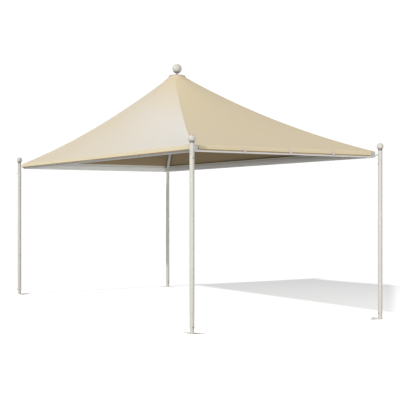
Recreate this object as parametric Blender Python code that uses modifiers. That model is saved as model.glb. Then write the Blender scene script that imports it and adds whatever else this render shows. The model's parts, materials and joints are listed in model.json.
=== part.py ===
# Peaked gazebo: four round steel posts with ball finials carry a rectangular steel eave frame
# on outboard brackets, four hip rafters rise to a round crown, and a fabric canopy of four
# panels hangs over them. Metres, +Z up, origin on the ground at the middle of the plan.
# The long sides run along X. "front" is the -Y side and "right" is the +X side.
import bpy
import bmesh
import math
import numpy as np
from mathutils import Matrix, Vector

# Plan and clearances
SPAN_X = 6.10
SPAN_Y = 3.00
GAP = 0.0003

# Posts and feet
POST_R = 0.0305
POST_WALL = 0.003
POST_BOTTOM_Z = 0.065
POST_TOP_Z = 2.165
PLATE_THICK = 0.007
PLATE_OUT = 0.034
PLATE_IN = 0.190
PLATE_TIP = 0.016
ANCHOR_R = 0.006
ANCHOR_ALONG = 0.135
ANCHOR_OUT = 0.008
SPIGOT_TOP_Z = 0.320

# Corner fittings and ball finials
SLEEVE_BOTTOM_Z = 1.900
SLEEVE_WALL = 0.003
BALL_R = 0.047
BALL_Z = 2.381
BALL_NECK_Z = 2.300
ARM_R = 0.014
ARM_Z = 2.268
ARM_START = 0.0255
ARM_END = 0.066
BRACKET_THICK = 0.003
BRACKET_BLOCK = 0.019
BRACKET_BOTTOM_Z = 2.246
BRACKET_TOP_Z = 2.303
BRACKET_END_LEG = 0.053
BRACKET_LONG_LEG = 0.030

# Eave frame: rectangular tube, its outer corner inboard of the post's centre
FRAME_INSET_X = 0.043
FRAME_INSET_Y = 0.062
FRAME_CUT = 0.2
BEAM_WIDE = 0.040
BEAM_TALL = 0.080
BEAM_TOP_Z = 2.305
BEAM_WALL = 0.0025

# Canopy: z along a hip is EAVE_Z + RISE_1 t + RISE_2 t^2, t from 0 at the eave to 1 at the crown
CANOPY_THICK = 0.003
HEM_OUT_LONG = 0.034
HEM_OUT_END = 0.008
HEM_BOTTOM_Z = 2.250
HEM_TOP_Z = 2.300
HEM_STOP_LONG = 0.022
HEM_STOP_END = 0.088
EAVE_Z = 2.3073
RISE_1 = 0.830
RISE_2 = 0.4455
PANEL_BULGE = 0.030
PANEL_ROWS = 10
PANEL_COLUMNS = 12
HIP_INSET_LONG = 0.0048
HIP_INSET_END = 0.0024

# Rafters and crown
RAFTER_R = 0.0275
RAFTER_WALL = 0.003
RAFTER_BEVEL_LEVEL = 3
RAFTER_FIRST_T = -0.01
RAFTER_LAST_T = 1.03
TRIM_LOW_Z = 2.0
TRIM_HIGH_Z = 3.0
CROWN_R = 0.1414
HUB_R = 0.105
HUB_WALL = 0.008
HUB_BOTTOM_Z = 3.470
HUB_TOP_Z = 3.598
HUB_DECK = 0.008
BOSS_R = 0.030
CAP_TOP_Z = 3.628
CAP_TOP_R = 0.112
CAP_RIM_R = 0.150
CAP_RIM_Z = 3.583
CAP_EASE = 0.006
CAP_EASE_DROP = 0.002
CAP_WALL = 0.0025
STEM_R = 0.008
APEX_R = 0.0735
APEX_Z = 3.728

# Hooks that hold the hem to the frame
HOOK_WIDE = 0.028
HOOK_THICK = 0.0025
HOOK_TOP_Z = 2.300
HOOK_KNEE_Z = 2.2485
HOOK_BOTTOM_Z = 2.2285
HOOK_STEP_LONG = 1.480
HOOK_STEP_END = 0.710

# Roundness
ROUND_STEPS = 24
BALL_RINGS = 9
APEX_RINGS = 12
ROD_SIDES = 16
HUB_CUT_SIDES = 48
SMOOTH_ANGLE = math.radians(35)

FRAME_X = SPAN_X / 2 - FRAME_INSET_X
FRAME_Y = SPAN_Y / 2 - FRAME_INSET_Y
CANOPY_X = FRAME_X + HEM_OUT_END
CANOPY_Y = FRAME_Y + HEM_OUT_LONG
BEAM_BOTTOM_Z = BEAM_TOP_Z - BEAM_TALL
POST_BORE = POST_R - POST_WALL
SLEEVE_R = POST_BORE - GAP
CORNERS = (("front_left", -1, -1), ("front_right", 1, -1),
           ("back_right", 1, 1), ("back_left", -1, 1))


def clear_scene():
    for obj in list(bpy.data.objects):
        bpy.data.objects.remove(obj, do_unlink=True)


def new_collection(name):
    group = bpy.data.collections.new(name)
    bpy.context.scene.collection.children.link(group)
    return group


def new_material(name, color, roughness, metallic=0.0):
    material = bpy.data.materials.new(name)
    material.use_nodes = True
    shader = material.node_tree.nodes["Principled BSDF"]
    shader.inputs["Base Color"].default_value = (*color, 1.0)
    shader.inputs["Roughness"].default_value = roughness
    shader.inputs["Metallic"].default_value = metallic
    material.diffuse_color = (*color, 1.0)
    return material


def shade_round(mesh):
    mesh.shade_smooth()
    mesh.set_sharp_from_angle(angle=SMOOTH_ANGLE)


def add_part(name, mesh, group, material, location=(0, 0, 0), turn_z=0.0):
    obj = bpy.data.objects.new(name, mesh)
    group.objects.link(obj)
    obj.location = location
    obj.rotation_euler = (0, 0, turn_z)
    mesh.materials.append(material)
    return obj


def hide_cutter(obj):
    obj.hide_render = True
    obj.display_type = "WIRE"


def add_cutter(name, mesh, location=(0, 0, 0)):
    obj = bpy.data.objects.new(name, mesh)
    cutters.objects.link(obj)
    obj.location = location
    hide_cutter(obj)
    return obj


def combine(obj, other, operation):
    modifier = obj.modifiers.new(other.name, "BOOLEAN")
    modifier.operation = operation
    modifier.object = other


def box_mesh(name, low, high):
    low, high = Vector(low), Vector(high)
    bm = bmesh.new()
    place = Matrix.Translation((low + high) / 2) @ Matrix.Diagonal((*(high - low), 1.0))
    bmesh.ops.create_cube(bm, size=1.0, matrix=place)
    mesh = bpy.data.meshes.new(name)
    bm.to_mesh(mesh)
    bm.free()
    return mesh


def rod_mesh(name, radius, start, end, sides=ROD_SIDES):
    start, end = Vector(start), Vector(end)
    along = end - start
    turn = along.to_track_quat("Z", "Y").to_matrix().to_4x4()
    bm = bmesh.new()
    bmesh.ops.create_cone(bm, cap_ends=True, segments=sides, radius1=radius, radius2=radius,
                          depth=along.length, matrix=Matrix.Translation((start + end) / 2) @ turn)
    mesh = bpy.data.meshes.new(name)
    bm.to_mesh(mesh)
    bm.free()
    return mesh


def turned(name, profile, group, material, location, closed=True):
    # profile: (radius, z) points, down the outer side and back up the inner one
    points = [(r, 0.0, z) for r, z in profile]
    edges = [(i, i + 1) for i in range(len(points) - 1)]
    if closed:
        edges.append((len(points) - 1, 0))
    mesh = bpy.data.meshes.new(name)
    mesh.from_pydata(points, edges, [])
    obj = add_part(name, mesh, group, material, location)
    screw = obj.modifiers.new("Turn", "SCREW")
    screw.axis = "Z"
    screw.steps = ROUND_STEPS
    screw.render_steps = ROUND_STEPS
    screw.use_merge_vertices = True
    screw.merge_threshold = 0.0001
    screw.use_smooth_shade = True
    return obj


def outline_mesh(name, points, thickness):
    # a flat outline in XY, thickened both ways along Z
    curve = bpy.data.curves.new(name, "CURVE")
    curve.dimensions = "2D"
    curve.fill_mode = "BOTH"
    curve.extrude = thickness / 2
    spline = curve.splines.new("POLY")
    spline.points.add(len(points) - 1)
    for point, (x, y) in zip(spline.points, points):
        point.co = (x, y, 0.0, 1.0)
    spline.use_cyclic_u = True
    return curve_to_mesh(name, curve)


def curve_to_mesh(name, curve):
    holder = bpy.data.objects.new(name + "_curve", curve)
    bpy.context.scene.collection.objects.link(holder)
    graph = bpy.context.evaluated_depsgraph_get()
    mesh = bpy.data.meshes.new_from_object(holder.evaluated_get(graph))
    bpy.data.objects.remove(holder, do_unlink=True)
    bpy.data.curves.remove(curve)
    bm = bmesh.new()
    bm.from_mesh(mesh)
    bmesh.ops.remove_doubles(bm, verts=bm.verts, dist=0.00001)
    bm.to_mesh(mesh)
    bm.free()
    mesh.name = name
    return mesh


def hip_height(t):
    return EAVE_Z + RISE_1 * t + RISE_2 * t * t


def hip_plan(t):
    # distance from the centre along X and Y of a point on a hip
    crown = CROWN_R / math.sqrt(2)
    return CANOPY_X * (1 - t) + crown * t, CANOPY_Y * (1 - t) + crown * t


def rafter_drop(t):
    # how far the rafter's centre hangs below the hip so that it clears the steeper panel
    steepest = (RISE_1 + 2 * RISE_2 * t) / (CANOPY_Y - CROWN_R / math.sqrt(2))
    return (RAFTER_R + CANOPY_THICK + 2 * GAP) * math.sqrt(1 + steepest * steepest)


def make_foot(corner, sx, sy):
    # a triangular plate with its right angle outboard, and the spigot welded on it
    outline = [(PLATE_OUT, PLATE_OUT), (PLATE_OUT, PLATE_TIP - PLATE_IN),
               (PLATE_OUT - PLATE_TIP, -PLATE_IN), (-PLATE_IN, PLATE_OUT - PLATE_TIP),
               (PLATE_TIP - PLATE_IN, PLATE_OUT)]
    flipped = [(x * sx, y * sy) for x, y in outline]
    if sx * sy > 0:
        flipped.reverse()
    centre = (sx * SPAN_X / 2, sy * SPAN_Y / 2)
    name = "foot_" + corner
    plate = add_part(name, outline_mesh(name, flipped, PLATE_THICK), parts, steel,
                     (*centre, PLATE_THICK / 2))
    spigot = turned(name + "_spigot",
                    [(SLEEVE_R, SPIGOT_TOP_Z), (SLEEVE_R, PLATE_THICK / 2),
                     (SLEEVE_R - SLEEVE_WALL, PLATE_THICK / 2), (SLEEVE_R - SLEEVE_WALL, SPIGOT_TOP_Z)],
                    cutters, steel, (*centre, 0.0))
    hide_cutter(spigot)
    combine(plate, spigot, "UNION")
    for along_x, along_y in ((-ANCHOR_ALONG, ANCHOR_OUT), (ANCHOR_OUT, -ANCHOR_ALONG)):
        drill = rod_mesh(name + "_hole", ANCHOR_R, (0, 0, -PLATE_THICK), (0, 0, 2 * PLATE_THICK))
        hole = add_cutter(name + "_hole", drill,
                          (centre[0] + sx * along_x, centre[1] + sy * along_y, 0.0))
        combine(plate, hole, "DIFFERENCE")


def make_post(corner, sx, sy):
    turned("post_" + corner,
           [(POST_R, POST_TOP_Z), (POST_R, POST_BOTTOM_Z),
            (POST_BORE, POST_BOTTOM_Z), (POST_BORE, POST_TOP_Z)],
           parts, steel, (sx * SPAN_X / 2, sy * SPAN_Y / 2, 0.0))


def make_corner_fitting(corner, sx, sy):
    # head tube with its inner sleeve, a short diagonal arm, and a block and strap on the frame's corner
    centre = (sx * SPAN_X / 2, sy * SPAN_Y / 2, 0.0)
    seat_z = BALL_Z - math.sqrt(BALL_R ** 2 - POST_BORE ** 2) - GAP
    bore = SLEEVE_R - SLEEVE_WALL
    name = "corner_fitting_" + corner
    fitting = turned(name,
                     [(POST_R, seat_z), (POST_R, POST_TOP_Z + GAP), (SLEEVE_R, POST_TOP_Z + GAP),
                      (SLEEVE_R, SLEEVE_BOTTOM_Z), (bore, SLEEVE_BOTTOM_Z),
                      (bore, POST_TOP_Z + POST_WALL), (POST_BORE, POST_TOP_Z + 2 * POST_WALL),
                      (POST_BORE, seat_z)],
                     parts, steel, centre)
    inward = Vector((-sx, -sy, 0)).normalized()
    arm_z = Vector((0, 0, ARM_Z))
    arm = add_cutter(name + "_arm", rod_mesh(name + "_arm", ARM_R, arm_z + inward * ARM_START,
                                             arm_z + inward * ARM_END), centre)
    outer_x = FRAME_X + GAP + BRACKET_THICK
    outer_y = FRAME_Y + GAP + BRACKET_BLOCK
    bracket_low = (outer_x - BRACKET_LONG_LEG, FRAME_Y - BRACKET_END_LEG, BRACKET_BOTTOM_Z)
    bracket = add_cutter(name + "_angle", corner_box(name + "_angle", sx, sy, bracket_low,
                                                     (outer_x, outer_y, BRACKET_TOP_Z)))
    frame_low = (FRAME_X - FRAME_CUT, FRAME_Y - FRAME_CUT, BEAM_BOTTOM_Z)
    keep_out = add_cutter(name + "_frame", corner_box(name + "_frame", sx, sy, frame_low,
                                                      (FRAME_X + GAP, FRAME_Y + GAP, BEAM_TOP_Z)))
    combine(fitting, arm, "UNION")
    combine(fitting, bracket, "UNION")
    combine(fitting, keep_out, "DIFFERENCE")


def corner_box(name, sx, sy, low, high):
    # a box given in the quadrant of positive X and Y, mirrored into its own corner
    xs = sorted((low[0] * sx, high[0] * sx))
    ys = sorted((low[1] * sy, high[1] * sy))
    return box_mesh(name, (xs[0], ys[0], low[2]), (xs[1], ys[1], high[2]))


def make_ball(corner, sx, sy):
    arc = ball_arc(BALL_R, BALL_Z, SLEEVE_R, BALL_RINGS)
    turned("ball_finial_" + corner, arc + [(SLEEVE_R, BALL_NECK_Z), (0.0, BALL_NECK_Z)],
           parts, ball_steel, (sx * SPAN_X / 2, sy * SPAN_Y / 2, 0.0), closed=False)


def ball_arc(radius, centre_z, neck_r, count):
    # points down a sphere from its top to where a neck of the given radius leaves it
    last = math.pi - math.asin(neck_r / radius)
    return [(radius * math.sin(last * i / count), centre_z + radius * math.cos(last * i / count))
            for i in range(count + 1)]


def make_long_beam(name, side):
    # rectangular tube from corner to corner
    ys = sorted(((FRAME_Y - BEAM_WIDE) * side, FRAME_Y * side))
    make_tube(name, (-FRAME_X, ys[0], BEAM_BOTTOM_Z), (FRAME_X, ys[1], BEAM_TOP_Z), 0)


def make_end_beam(name, side):
    # the same tube, fitted between the long beams
    half = FRAME_Y - BEAM_WIDE - GAP
    xs = sorted(((FRAME_X - BEAM_WIDE) * side, FRAME_X * side))
    make_tube(name, (xs[0], -half, BEAM_BOTTOM_Z), (xs[1], half, BEAM_TOP_Z), 1)


def make_tube(name, low, high, axis):
    mesh = box_mesh(name, low, high)
    open_ends(mesh, axis)
    thicken(add_part(name, mesh, parts, frame_steel), BEAM_WALL)


def open_ends(mesh, axis):
    bm = bmesh.new()
    bm.from_mesh(mesh)
    ends = [face for face in bm.faces if abs(face.normal[axis]) > 0.9]
    bmesh.ops.delete(bm, geom=ends, context="FACES")
    bm.to_mesh(mesh)
    bm.free()


def thicken(obj, thickness):
    solid = obj.modifiers.new("Wall", "SOLIDIFY")
    solid.thickness = thickness
    solid.offset = -1.0
    solid.use_even_offset = True


def make_rafter(corner, sx, sy):
    # an open tube along the hip, coped against the frame's inner faces and the hub
    name = "hip_rafter_" + corner
    curve = bpy.data.curves.new(name, "CURVE")
    curve.dimensions = "3D"
    curve.bevel_depth = RAFTER_R
    curve.bevel_resolution = RAFTER_BEVEL_LEVEL
    spline = curve.splines.new("POLY")
    stations = [RAFTER_FIRST_T] + [i / PANEL_ROWS for i in range(1, PANEL_ROWS + 1)] + [RAFTER_LAST_T]
    spline.points.add(len(stations) - 1)
    for point, t in zip(spline.points, stations):
        x, y = hip_plan(t)
        point.co = (sx * x, sy * y, hip_height(t) - rafter_drop(t), 1.0)
    mesh = curve_to_mesh(name, curve)
    shade_round(mesh)
    rafter = add_part(name, mesh, parts, frame_steel)
    thicken(rafter, RAFTER_WALL)
    inner_x = FRAME_X - BEAM_WIDE - GAP
    inner_y = FRAME_Y - BEAM_WIDE - GAP
    far_corner = (SPAN_X, SPAN_Y, TRIM_HIGH_Z)
    for side, low in (("end", (inner_x, 0, TRIM_LOW_Z)), ("long", (0, inner_y, TRIM_LOW_Z))):
        block = add_cutter(name + "_" + side, corner_box(name + "_" + side, sx, sy, low, far_corner))
        combine(rafter, block, "DIFFERENCE")
    hub = add_cutter(name + "_hub", rod_mesh(name + "_hub", HUB_R + GAP, (0, 0, TRIM_HIGH_Z),
                                             (0, 0, APEX_Z), HUB_CUT_SIDES))
    combine(rafter, hub, "DIFFERENCE")


def panel_grid(long_side):
    # rows: hem bottom, hem top, then eave to crown; columns: hip to hip, u from -1 to 1,
    # with the second column from each end where the hem stops
    half, out = (CANOPY_X, CANOPY_Y) if long_side else (CANOPY_Y, CANOPY_X)
    stop = 1 - (HEM_STOP_LONG if long_side else HEM_STOP_END) / half
    u = np.concatenate(([-1.0], np.linspace(-stop, stop, PANEL_COLUMNS - 1), [1.0]))
    t = np.linspace(0.0, 1.0, PANEL_ROWS + 1)[:, None]
    inset = HIP_INSET_LONG if long_side else HIP_INSET_END
    reach = half * (1 - t) + CROWN_R * math.pi / 4 * t
    v = u[None, :] * (1 - inset / reach)
    angle = v * math.pi / 4
    along = half * v * (1 - t) + CROWN_R * np.sin(angle) * t
    away = out * (1 - t) + CROWN_R * np.cos(angle) * t
    height = EAVE_Z + RISE_1 * t + RISE_2 * t * t + PANEL_BULGE * 4 * t * (1 - t) * (1 - u * u)
    along = np.vstack((along[0], along[0], along))
    away = np.vstack((away[0], away[0], away))
    height = np.vstack((np.full_like(u, HEM_BOTTOM_Z), np.full_like(u, HEM_TOP_Z), height))
    return along, away, height


def make_panel(name, turn, long_side):
    along, away, height = panel_grid(long_side)
    rows, columns = along.shape
    points = np.stack((along, -away, height), axis=-1).reshape(-1, 3)
    index = np.arange(rows * columns).reshape(rows, columns)
    faces = np.stack((index[:-1, :-1], index[:-1, 1:], index[1:, 1:], index[1:, :-1]), axis=-1)
    hem = faces[:2, 1:-1].reshape(-1, 4)
    skin = faces[2:].reshape(-1, 4)
    mesh = bpy.data.meshes.new(name)
    mesh.from_pydata(points.tolist(), [], np.vstack((hem, skin)).tolist())
    drop_loose_points(mesh)
    shade_round(mesh)
    panel = add_part(name, mesh, parts, fabric, turn_z=turn)
    thicken(panel, CANOPY_THICK)


def drop_loose_points(mesh):
    bm = bmesh.new()
    bm.from_mesh(mesh)
    bmesh.ops.delete(bm, geom=[v for v in bm.verts if not v.link_faces], context="VERTS")
    bm.to_mesh(mesh)
    bm.free()


def make_hook(name, position, turn, hem_out):
    # a Z strip: flat on the beam, under the hem and up in front of it; outline is (outward, z)
    face = GAP
    front = hem_out + GAP
    section = [(face, HOOK_BOTTOM_Z), (face + HOOK_THICK, HOOK_BOTTOM_Z),
               (face + HOOK_THICK, HOOK_KNEE_Z - HOOK_THICK), (front + HOOK_THICK, HOOK_KNEE_Z - HOOK_THICK),
               (front + HOOK_THICK, HOOK_TOP_Z), (front, HOOK_TOP_Z),
               (front, HOOK_KNEE_Z), (face, HOOK_KNEE_Z)]
    mesh = outline_mesh(name, section, HOOK_WIDE)
    # the outline's X turns to -Y, its Y to +Z, and the strip's width lies along the eave
    mesh.transform(Matrix(((0, 0, -1, 0), (-1, 0, 0, 0), (0, 1, 0, 0), (0, 0, 0, 1))))
    add_part(name, mesh, parts, hook_metal, position, turn)


def make_crown():
    boss_top = CAP_TOP_Z - CAP_WALL - GAP
    turned("crown_hub",
           [(0.0, boss_top), (BOSS_R, boss_top), (BOSS_R, HUB_TOP_Z), (HUB_R, HUB_TOP_Z),
            (HUB_R, HUB_BOTTOM_Z), (HUB_R - HUB_WALL, HUB_BOTTOM_Z),
            (HUB_R - HUB_WALL, HUB_TOP_Z - HUB_DECK), (0.0, HUB_TOP_Z - HUB_DECK)],
           parts, frame_steel, (0, 0, 0), closed=False)
    hole = STEM_R + GAP
    turned("crown_cap",
           [(hole, CAP_TOP_Z), (CAP_TOP_R - CAP_EASE, CAP_TOP_Z),
            (CAP_TOP_R, CAP_TOP_Z - CAP_EASE_DROP), (CAP_RIM_R, CAP_RIM_Z),
            (CAP_RIM_R - CAP_WALL, CAP_RIM_Z),
            (CAP_TOP_R - CAP_WALL / 2, CAP_TOP_Z - CAP_EASE_DROP - CAP_WALL),
            (CAP_TOP_R - CAP_EASE - CAP_WALL, CAP_TOP_Z - CAP_WALL), (hole, CAP_TOP_Z - CAP_WALL)],
           parts, fabric, (0, 0, 0))
    arc = ball_arc(APEX_R, APEX_Z, STEM_R, APEX_RINGS)
    turned("apex_finial", arc + [(STEM_R, boss_top + GAP), (0.0, boss_top + GAP)],
           parts, ball_steel, (0, 0, 0), closed=False)


def make_hooks():
    for i, step in enumerate((-1, 0, 1), start=1):
        along_x, along_y = step * HOOK_STEP_LONG, step * HOOK_STEP_END
        make_hook("hem_hook_front_%d" % i, (along_x, -FRAME_Y, 0), 0.0, HEM_OUT_LONG)
        make_hook("hem_hook_right_%d" % i, (FRAME_X, along_y, 0), math.pi / 2, HEM_OUT_END)
        make_hook("hem_hook_back_%d" % i, (-along_x, FRAME_Y, 0), math.pi, HEM_OUT_LONG)
        make_hook("hem_hook_left_%d" % i, (-FRAME_X, -along_y, 0), -math.pi / 2, HEM_OUT_END)


clear_scene()
parts = new_collection("peaked_gazebo")
cutters = new_collection("cutters")
steel = new_material("cream_powder_coat", (0.73, 0.70, 0.63), 0.45)
ball_steel = new_material("cream_ball", (0.72, 0.70, 0.66), 0.35)
frame_steel = new_material("grey_white_frame", (0.62, 0.61, 0.58), 0.45)
hook_metal = new_material("zinc_hook", (0.60, 0.59, 0.62), 0.35, 0.9)
fabric = new_material("sand_canopy", (0.72, 0.60, 0.43), 0.85)

for corner_name, side_x, side_y in CORNERS:
    make_foot(corner_name, side_x, side_y)
    make_post(corner_name, side_x, side_y)
    make_corner_fitting(corner_name, side_x, side_y)
    make_ball(corner_name, side_x, side_y)
    make_rafter(corner_name, side_x, side_y)
make_long_beam("beam_front", -1)
make_long_beam("beam_back", 1)
make_end_beam("beam_left", -1)
make_end_beam("beam_right", 1)
make_crown()
make_panel("canopy_front", 0.0, True)
make_panel("canopy_right", math.pi / 2, False)
make_panel("canopy_back", math.pi, True)
make_panel("canopy_left", -math.pi / 2, False)
make_hooks()
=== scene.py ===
# Peaked gazebo: the finish of the steel, the turned finials and the stretched fabric canopy.
import bpy
import bmesh
import json
import math
import numpy as np
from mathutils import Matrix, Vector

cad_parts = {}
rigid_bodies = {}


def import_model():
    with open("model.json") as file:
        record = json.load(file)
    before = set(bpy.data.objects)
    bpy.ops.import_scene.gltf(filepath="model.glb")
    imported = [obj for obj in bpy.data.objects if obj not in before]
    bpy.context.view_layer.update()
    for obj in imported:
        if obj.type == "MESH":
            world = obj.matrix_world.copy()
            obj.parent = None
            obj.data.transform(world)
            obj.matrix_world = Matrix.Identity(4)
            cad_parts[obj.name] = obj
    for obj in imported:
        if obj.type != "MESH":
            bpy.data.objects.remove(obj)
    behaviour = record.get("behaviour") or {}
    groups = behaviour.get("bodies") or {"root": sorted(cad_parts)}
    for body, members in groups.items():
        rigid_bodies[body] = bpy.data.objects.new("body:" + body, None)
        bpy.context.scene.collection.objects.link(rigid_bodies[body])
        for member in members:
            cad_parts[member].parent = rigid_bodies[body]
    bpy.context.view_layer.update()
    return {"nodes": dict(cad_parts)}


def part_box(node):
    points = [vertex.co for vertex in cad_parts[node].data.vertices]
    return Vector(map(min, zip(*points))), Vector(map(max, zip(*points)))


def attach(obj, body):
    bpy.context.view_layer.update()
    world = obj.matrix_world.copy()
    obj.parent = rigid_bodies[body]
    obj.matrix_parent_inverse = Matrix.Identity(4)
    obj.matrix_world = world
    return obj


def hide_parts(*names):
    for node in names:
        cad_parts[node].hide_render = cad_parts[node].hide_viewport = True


for leftover in list(bpy.data.objects):
    bpy.data.objects.remove(leftover, do_unlink=True)
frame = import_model()
print("frame loaded:", len(frame["nodes"]), "nodes")

corners = {"front_left": (-1, -1), "front_right": (1, -1), "back_right": (1, 1), "back_left": (-1, 1)}
sides = ("front", "right", "back", "left")
upright = np.array((0.0, 0.0, 1.0))


def readMeasures():
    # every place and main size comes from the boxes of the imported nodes
    (postLow, postHigh), (plateLow, plateHigh), (headLow, headHigh), (ballLow, ballHigh) = (
        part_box(name + "_back_right") for name in ("post", "foot", "corner_fitting", "ball_finial"))
    longLow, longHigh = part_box("beam_back")
    clothLow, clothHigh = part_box("canopy_back")
    hubLow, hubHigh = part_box("crown_hub")
    apexLow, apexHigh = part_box("apex_finial")
    postX = (postLow.x + postHigh.x) / 2
    return dict(
        postX=postX, postY=(postLow.y + postHigh.y) / 2, postR=(postHigh.x - postLow.x) / 2,
        postBottom=postLow.z, postTop=postHigh.z, plateOut=plateHigh.x - postX, plateIn=postX - plateLow.x,
        spigotTop=plateHigh.z, sleeveBottom=headLow.z, headTop=headHigh.z,
        ballR=(ballHigh.x - ballLow.x) / 2, ballTop=ballHigh.z, neckBottom=ballLow.z,
        frameX=longHigh.x, frameY=longHigh.y, beamWide=longHigh.y - longLow.y,
        beamBottom=longLow.z, beamTop=longHigh.z, endHalf=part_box("beam_right")[1].y,
        clothX=clothHigh.x, clothY=clothHigh.y, hemBottom=clothLow.z,
        hubR=hubHigh.x, hubBottom=hubLow.z, bossTop=hubHigh.z, capTop=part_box("crown_cap")[1].z,
        apexR=(apexHigh.x - apexLow.x) / 2, apexTop=apexHigh.z, stemBottom=apexLow.z)


m = readMeasures()
postFoot = np.array((m["postX"], m["postY"], 0.0))


# Surfaces

def roundTurn(steps):
    # angles spread evenly round a full turn
    return np.linspace(0, 2 * math.pi, steps, endpoint=False)


def unit(vectors):
    # the same directions, each with a length of one
    return vectors / np.linalg.norm(vectors, axis=-1, keepdims=True)


def limit(values):
    return np.clip(values, 0, 1)


def smooth(share):
    # an S curve from 0 to 1, three squares less two cubes
    return share * share * (3 - 2 * share)


def facing(axis):
    # three square directions as rows, the last one along axis
    axis = unit(np.asarray(axis, float))
    first = unit(np.cross(upright if abs(axis[2]) < 0.9 else (1.0, 0.0, 0.0), axis))
    return np.stack((first, np.cross(axis, first), axis))


def gridFaces(rows, columns, wrapRows=False, wrapColumns=False):
    # quads between neighbouring grid points, joined up round either way where asked
    index = np.arange(rows * columns).reshape(rows, columns)
    if wrapRows:
        index = np.vstack((index, index[:1]))
    if wrapColumns:
        index = np.hstack((index, index[:, :1]))
    quads = np.stack((index[:-1, :-1], index[:-1, 1:], index[1:, 1:], index[1:, :-1]), axis=-1)
    return quads.reshape(-1, 4)


def patch(points, wrapRows=False, wrapColumns=False, caps=False):
    # a surface of two parameters: points is rows by columns by 3; caps close its first and last row
    rows, columns = points.shape[:2]
    faces = gridFaces(rows, columns, wrapRows, wrapColumns).tolist()
    if caps:
        faces += [list(range(columns)), list(range((rows - 1) * columns, rows * columns))]
    return points.reshape(-1, 3), faces


def rectangle(fromA, toA, fromB, toB):
    # four corners, B being run through first
    return np.array(((fromA, fromB), (fromA, toB), (toA, toB), (toA, fromB)), float)


def roundCorners(points, radius, steps=4):
    # each corner of a closed outline gives way to an arc of that radius, tangent to both its sides
    points = np.asarray(points, float)
    radius = np.broadcast_to(np.asarray(radius, float), len(points))[:, None]
    back, ahead = unit(np.roll(points, 1, 0) - points), unit(np.roll(points, -1, 0) - points)
    half = np.arccos(np.clip((back * ahead).sum(1, keepdims=True), -1, 1)) / 2
    centre = points + unit(back + ahead) * radius / np.sin(half)
    reach = radius / np.tan(half)
    start, end = points + back * reach - centre, points + ahead * reach - centre
    sweep = (math.pi - 2 * half)[:, :, None]
    share = np.linspace(0, 1, steps + 1)[None, :, None]
    arc = np.sin((1 - share) * sweep) * start[:, None] + np.sin(share * sweep) * end[:, None]
    return (centre[:, None] + arc / np.sin(sweep)).reshape(-1, 2)


def circle(radius, centre, steps=24):
    angle = roundTurn(steps)
    return np.column_stack((centre[0] + radius * np.cos(angle), centre[1] + radius * np.sin(angle)))


def turned(profile, centre=(0, 0, 0), steps=64, wrapRows=True):
    # a profile of (radius, height) carried round an upright axis through centre
    profile, angle = np.asarray(profile, float), roundTurn(steps)
    radius, height = profile[:, :1], profile[:, 1:]
    points = np.stack((radius * np.cos(angle), radius * np.sin(angle), height + 0 * angle), axis=-1)
    return patch(points + np.asarray(centre, float), wrapRows=wrapRows, wrapColumns=True)


def aimed(part, axis, centre):
    # a part made round the Z axis is turned so that Z runs along axis, and moved to centre
    return part[0] @ facing(axis) + np.asarray(centre, float), part[1]


def carried(profile, path, first, second):
    # a closed outline (a, b) carried along a path, a along the first direction and b along the second
    points = np.asarray(path, float)[:, None] + profile[:, :1] * first + profile[:, 1:] * second
    return patch(points, wrapColumns=True, caps=True)


def beadRound(line, first, second, thick, **closing):
    # eight points round each point of a line: thick times cos of the angle along first and sin along second
    around = roundTurn(8)[:, None]
    first, second = (np.broadcast_to(way, line.shape)[:, None] for way in (first, second))
    ring = thick[:, None, None] * (np.cos(around) * first + np.sin(around) * second)
    return patch(line[:, None] + ring, wrapColumns=True, **closing)


weldLook = dict(rise=0.16, sway=0.06, sways=5, taper=16, thin=0.05, loopRise=0.15)


def weldRing(radius, bead, centre, ripples=34, steps=136):
    # a bead round a tube, whose thickness rises and falls as the laid drops of a weld do
    angle = roundTurn(steps)
    outward = np.column_stack((np.cos(angle), np.sin(angle), 0 * angle))
    thick = bead * (1 + weldLook["rise"] * np.cos(ripples * angle)
                    + weldLook["sway"] * np.sin(weldLook["sways"] * angle))
    return beadRound(radius * outward + np.asarray(centre, float), outward, upright, thick, wrapRows=True)


def weldLine(start, end, bead, ripple=0.007):
    # the same bead laid straight from one point to another, thinner at both ends
    length = np.linalg.norm(end - start)
    share = np.linspace(0, 1, max(int(length / ripple) * 4, 8) + 1)
    first, second = facing(end - start)[:2]
    thick = bead * np.sqrt(np.clip(1 - (2 * share - 1) ** weldLook["taper"], weldLook["thin"], 1))
    thick = thick * (1 + weldLook["rise"] * np.cos(2 * math.pi * share * length / ripple))
    return beadRound(start + share[:, None] * (end - start), first, second, thick, caps=True)


def weldLoop(loop, bead):
    # the same bead laid on a closed loop of points, out from the loop's middle and square to its line
    along = unit(np.roll(loop, -1, 0) - np.roll(loop, 1, 0))
    outward = loop - loop.mean(0)
    outward = unit(outward - (outward * along).sum(1, keepdims=True) * along)
    thick = bead * (1 + weldLook["loopRise"] * np.cos(np.arange(len(loop)) * math.pi))
    return beadRound(loop, outward, np.cross(along, outward), thick, wrapRows=True)


def dish(radius, height, rim, steps=32):
    # a low dome on a short rim, standing on Z = 0, as a bolt's round head
    angle = np.linspace(0, math.pi / 2, 8)
    dome = np.column_stack((radius * np.sin(angle), rim + (height - rim) * np.cos(angle)))
    return turned(np.vstack((dome, ((radius, 0.0), (0.0, 0.0)))), steps=steps)


def washer(inner, outer, thick, steps=32, ease=0.25):
    # a flat ring with eased edges, standing on Z = 0
    return turned(roundCorners(rectangle(inner, outer, 0, thick), thick * ease, 2), steps=steps)


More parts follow.
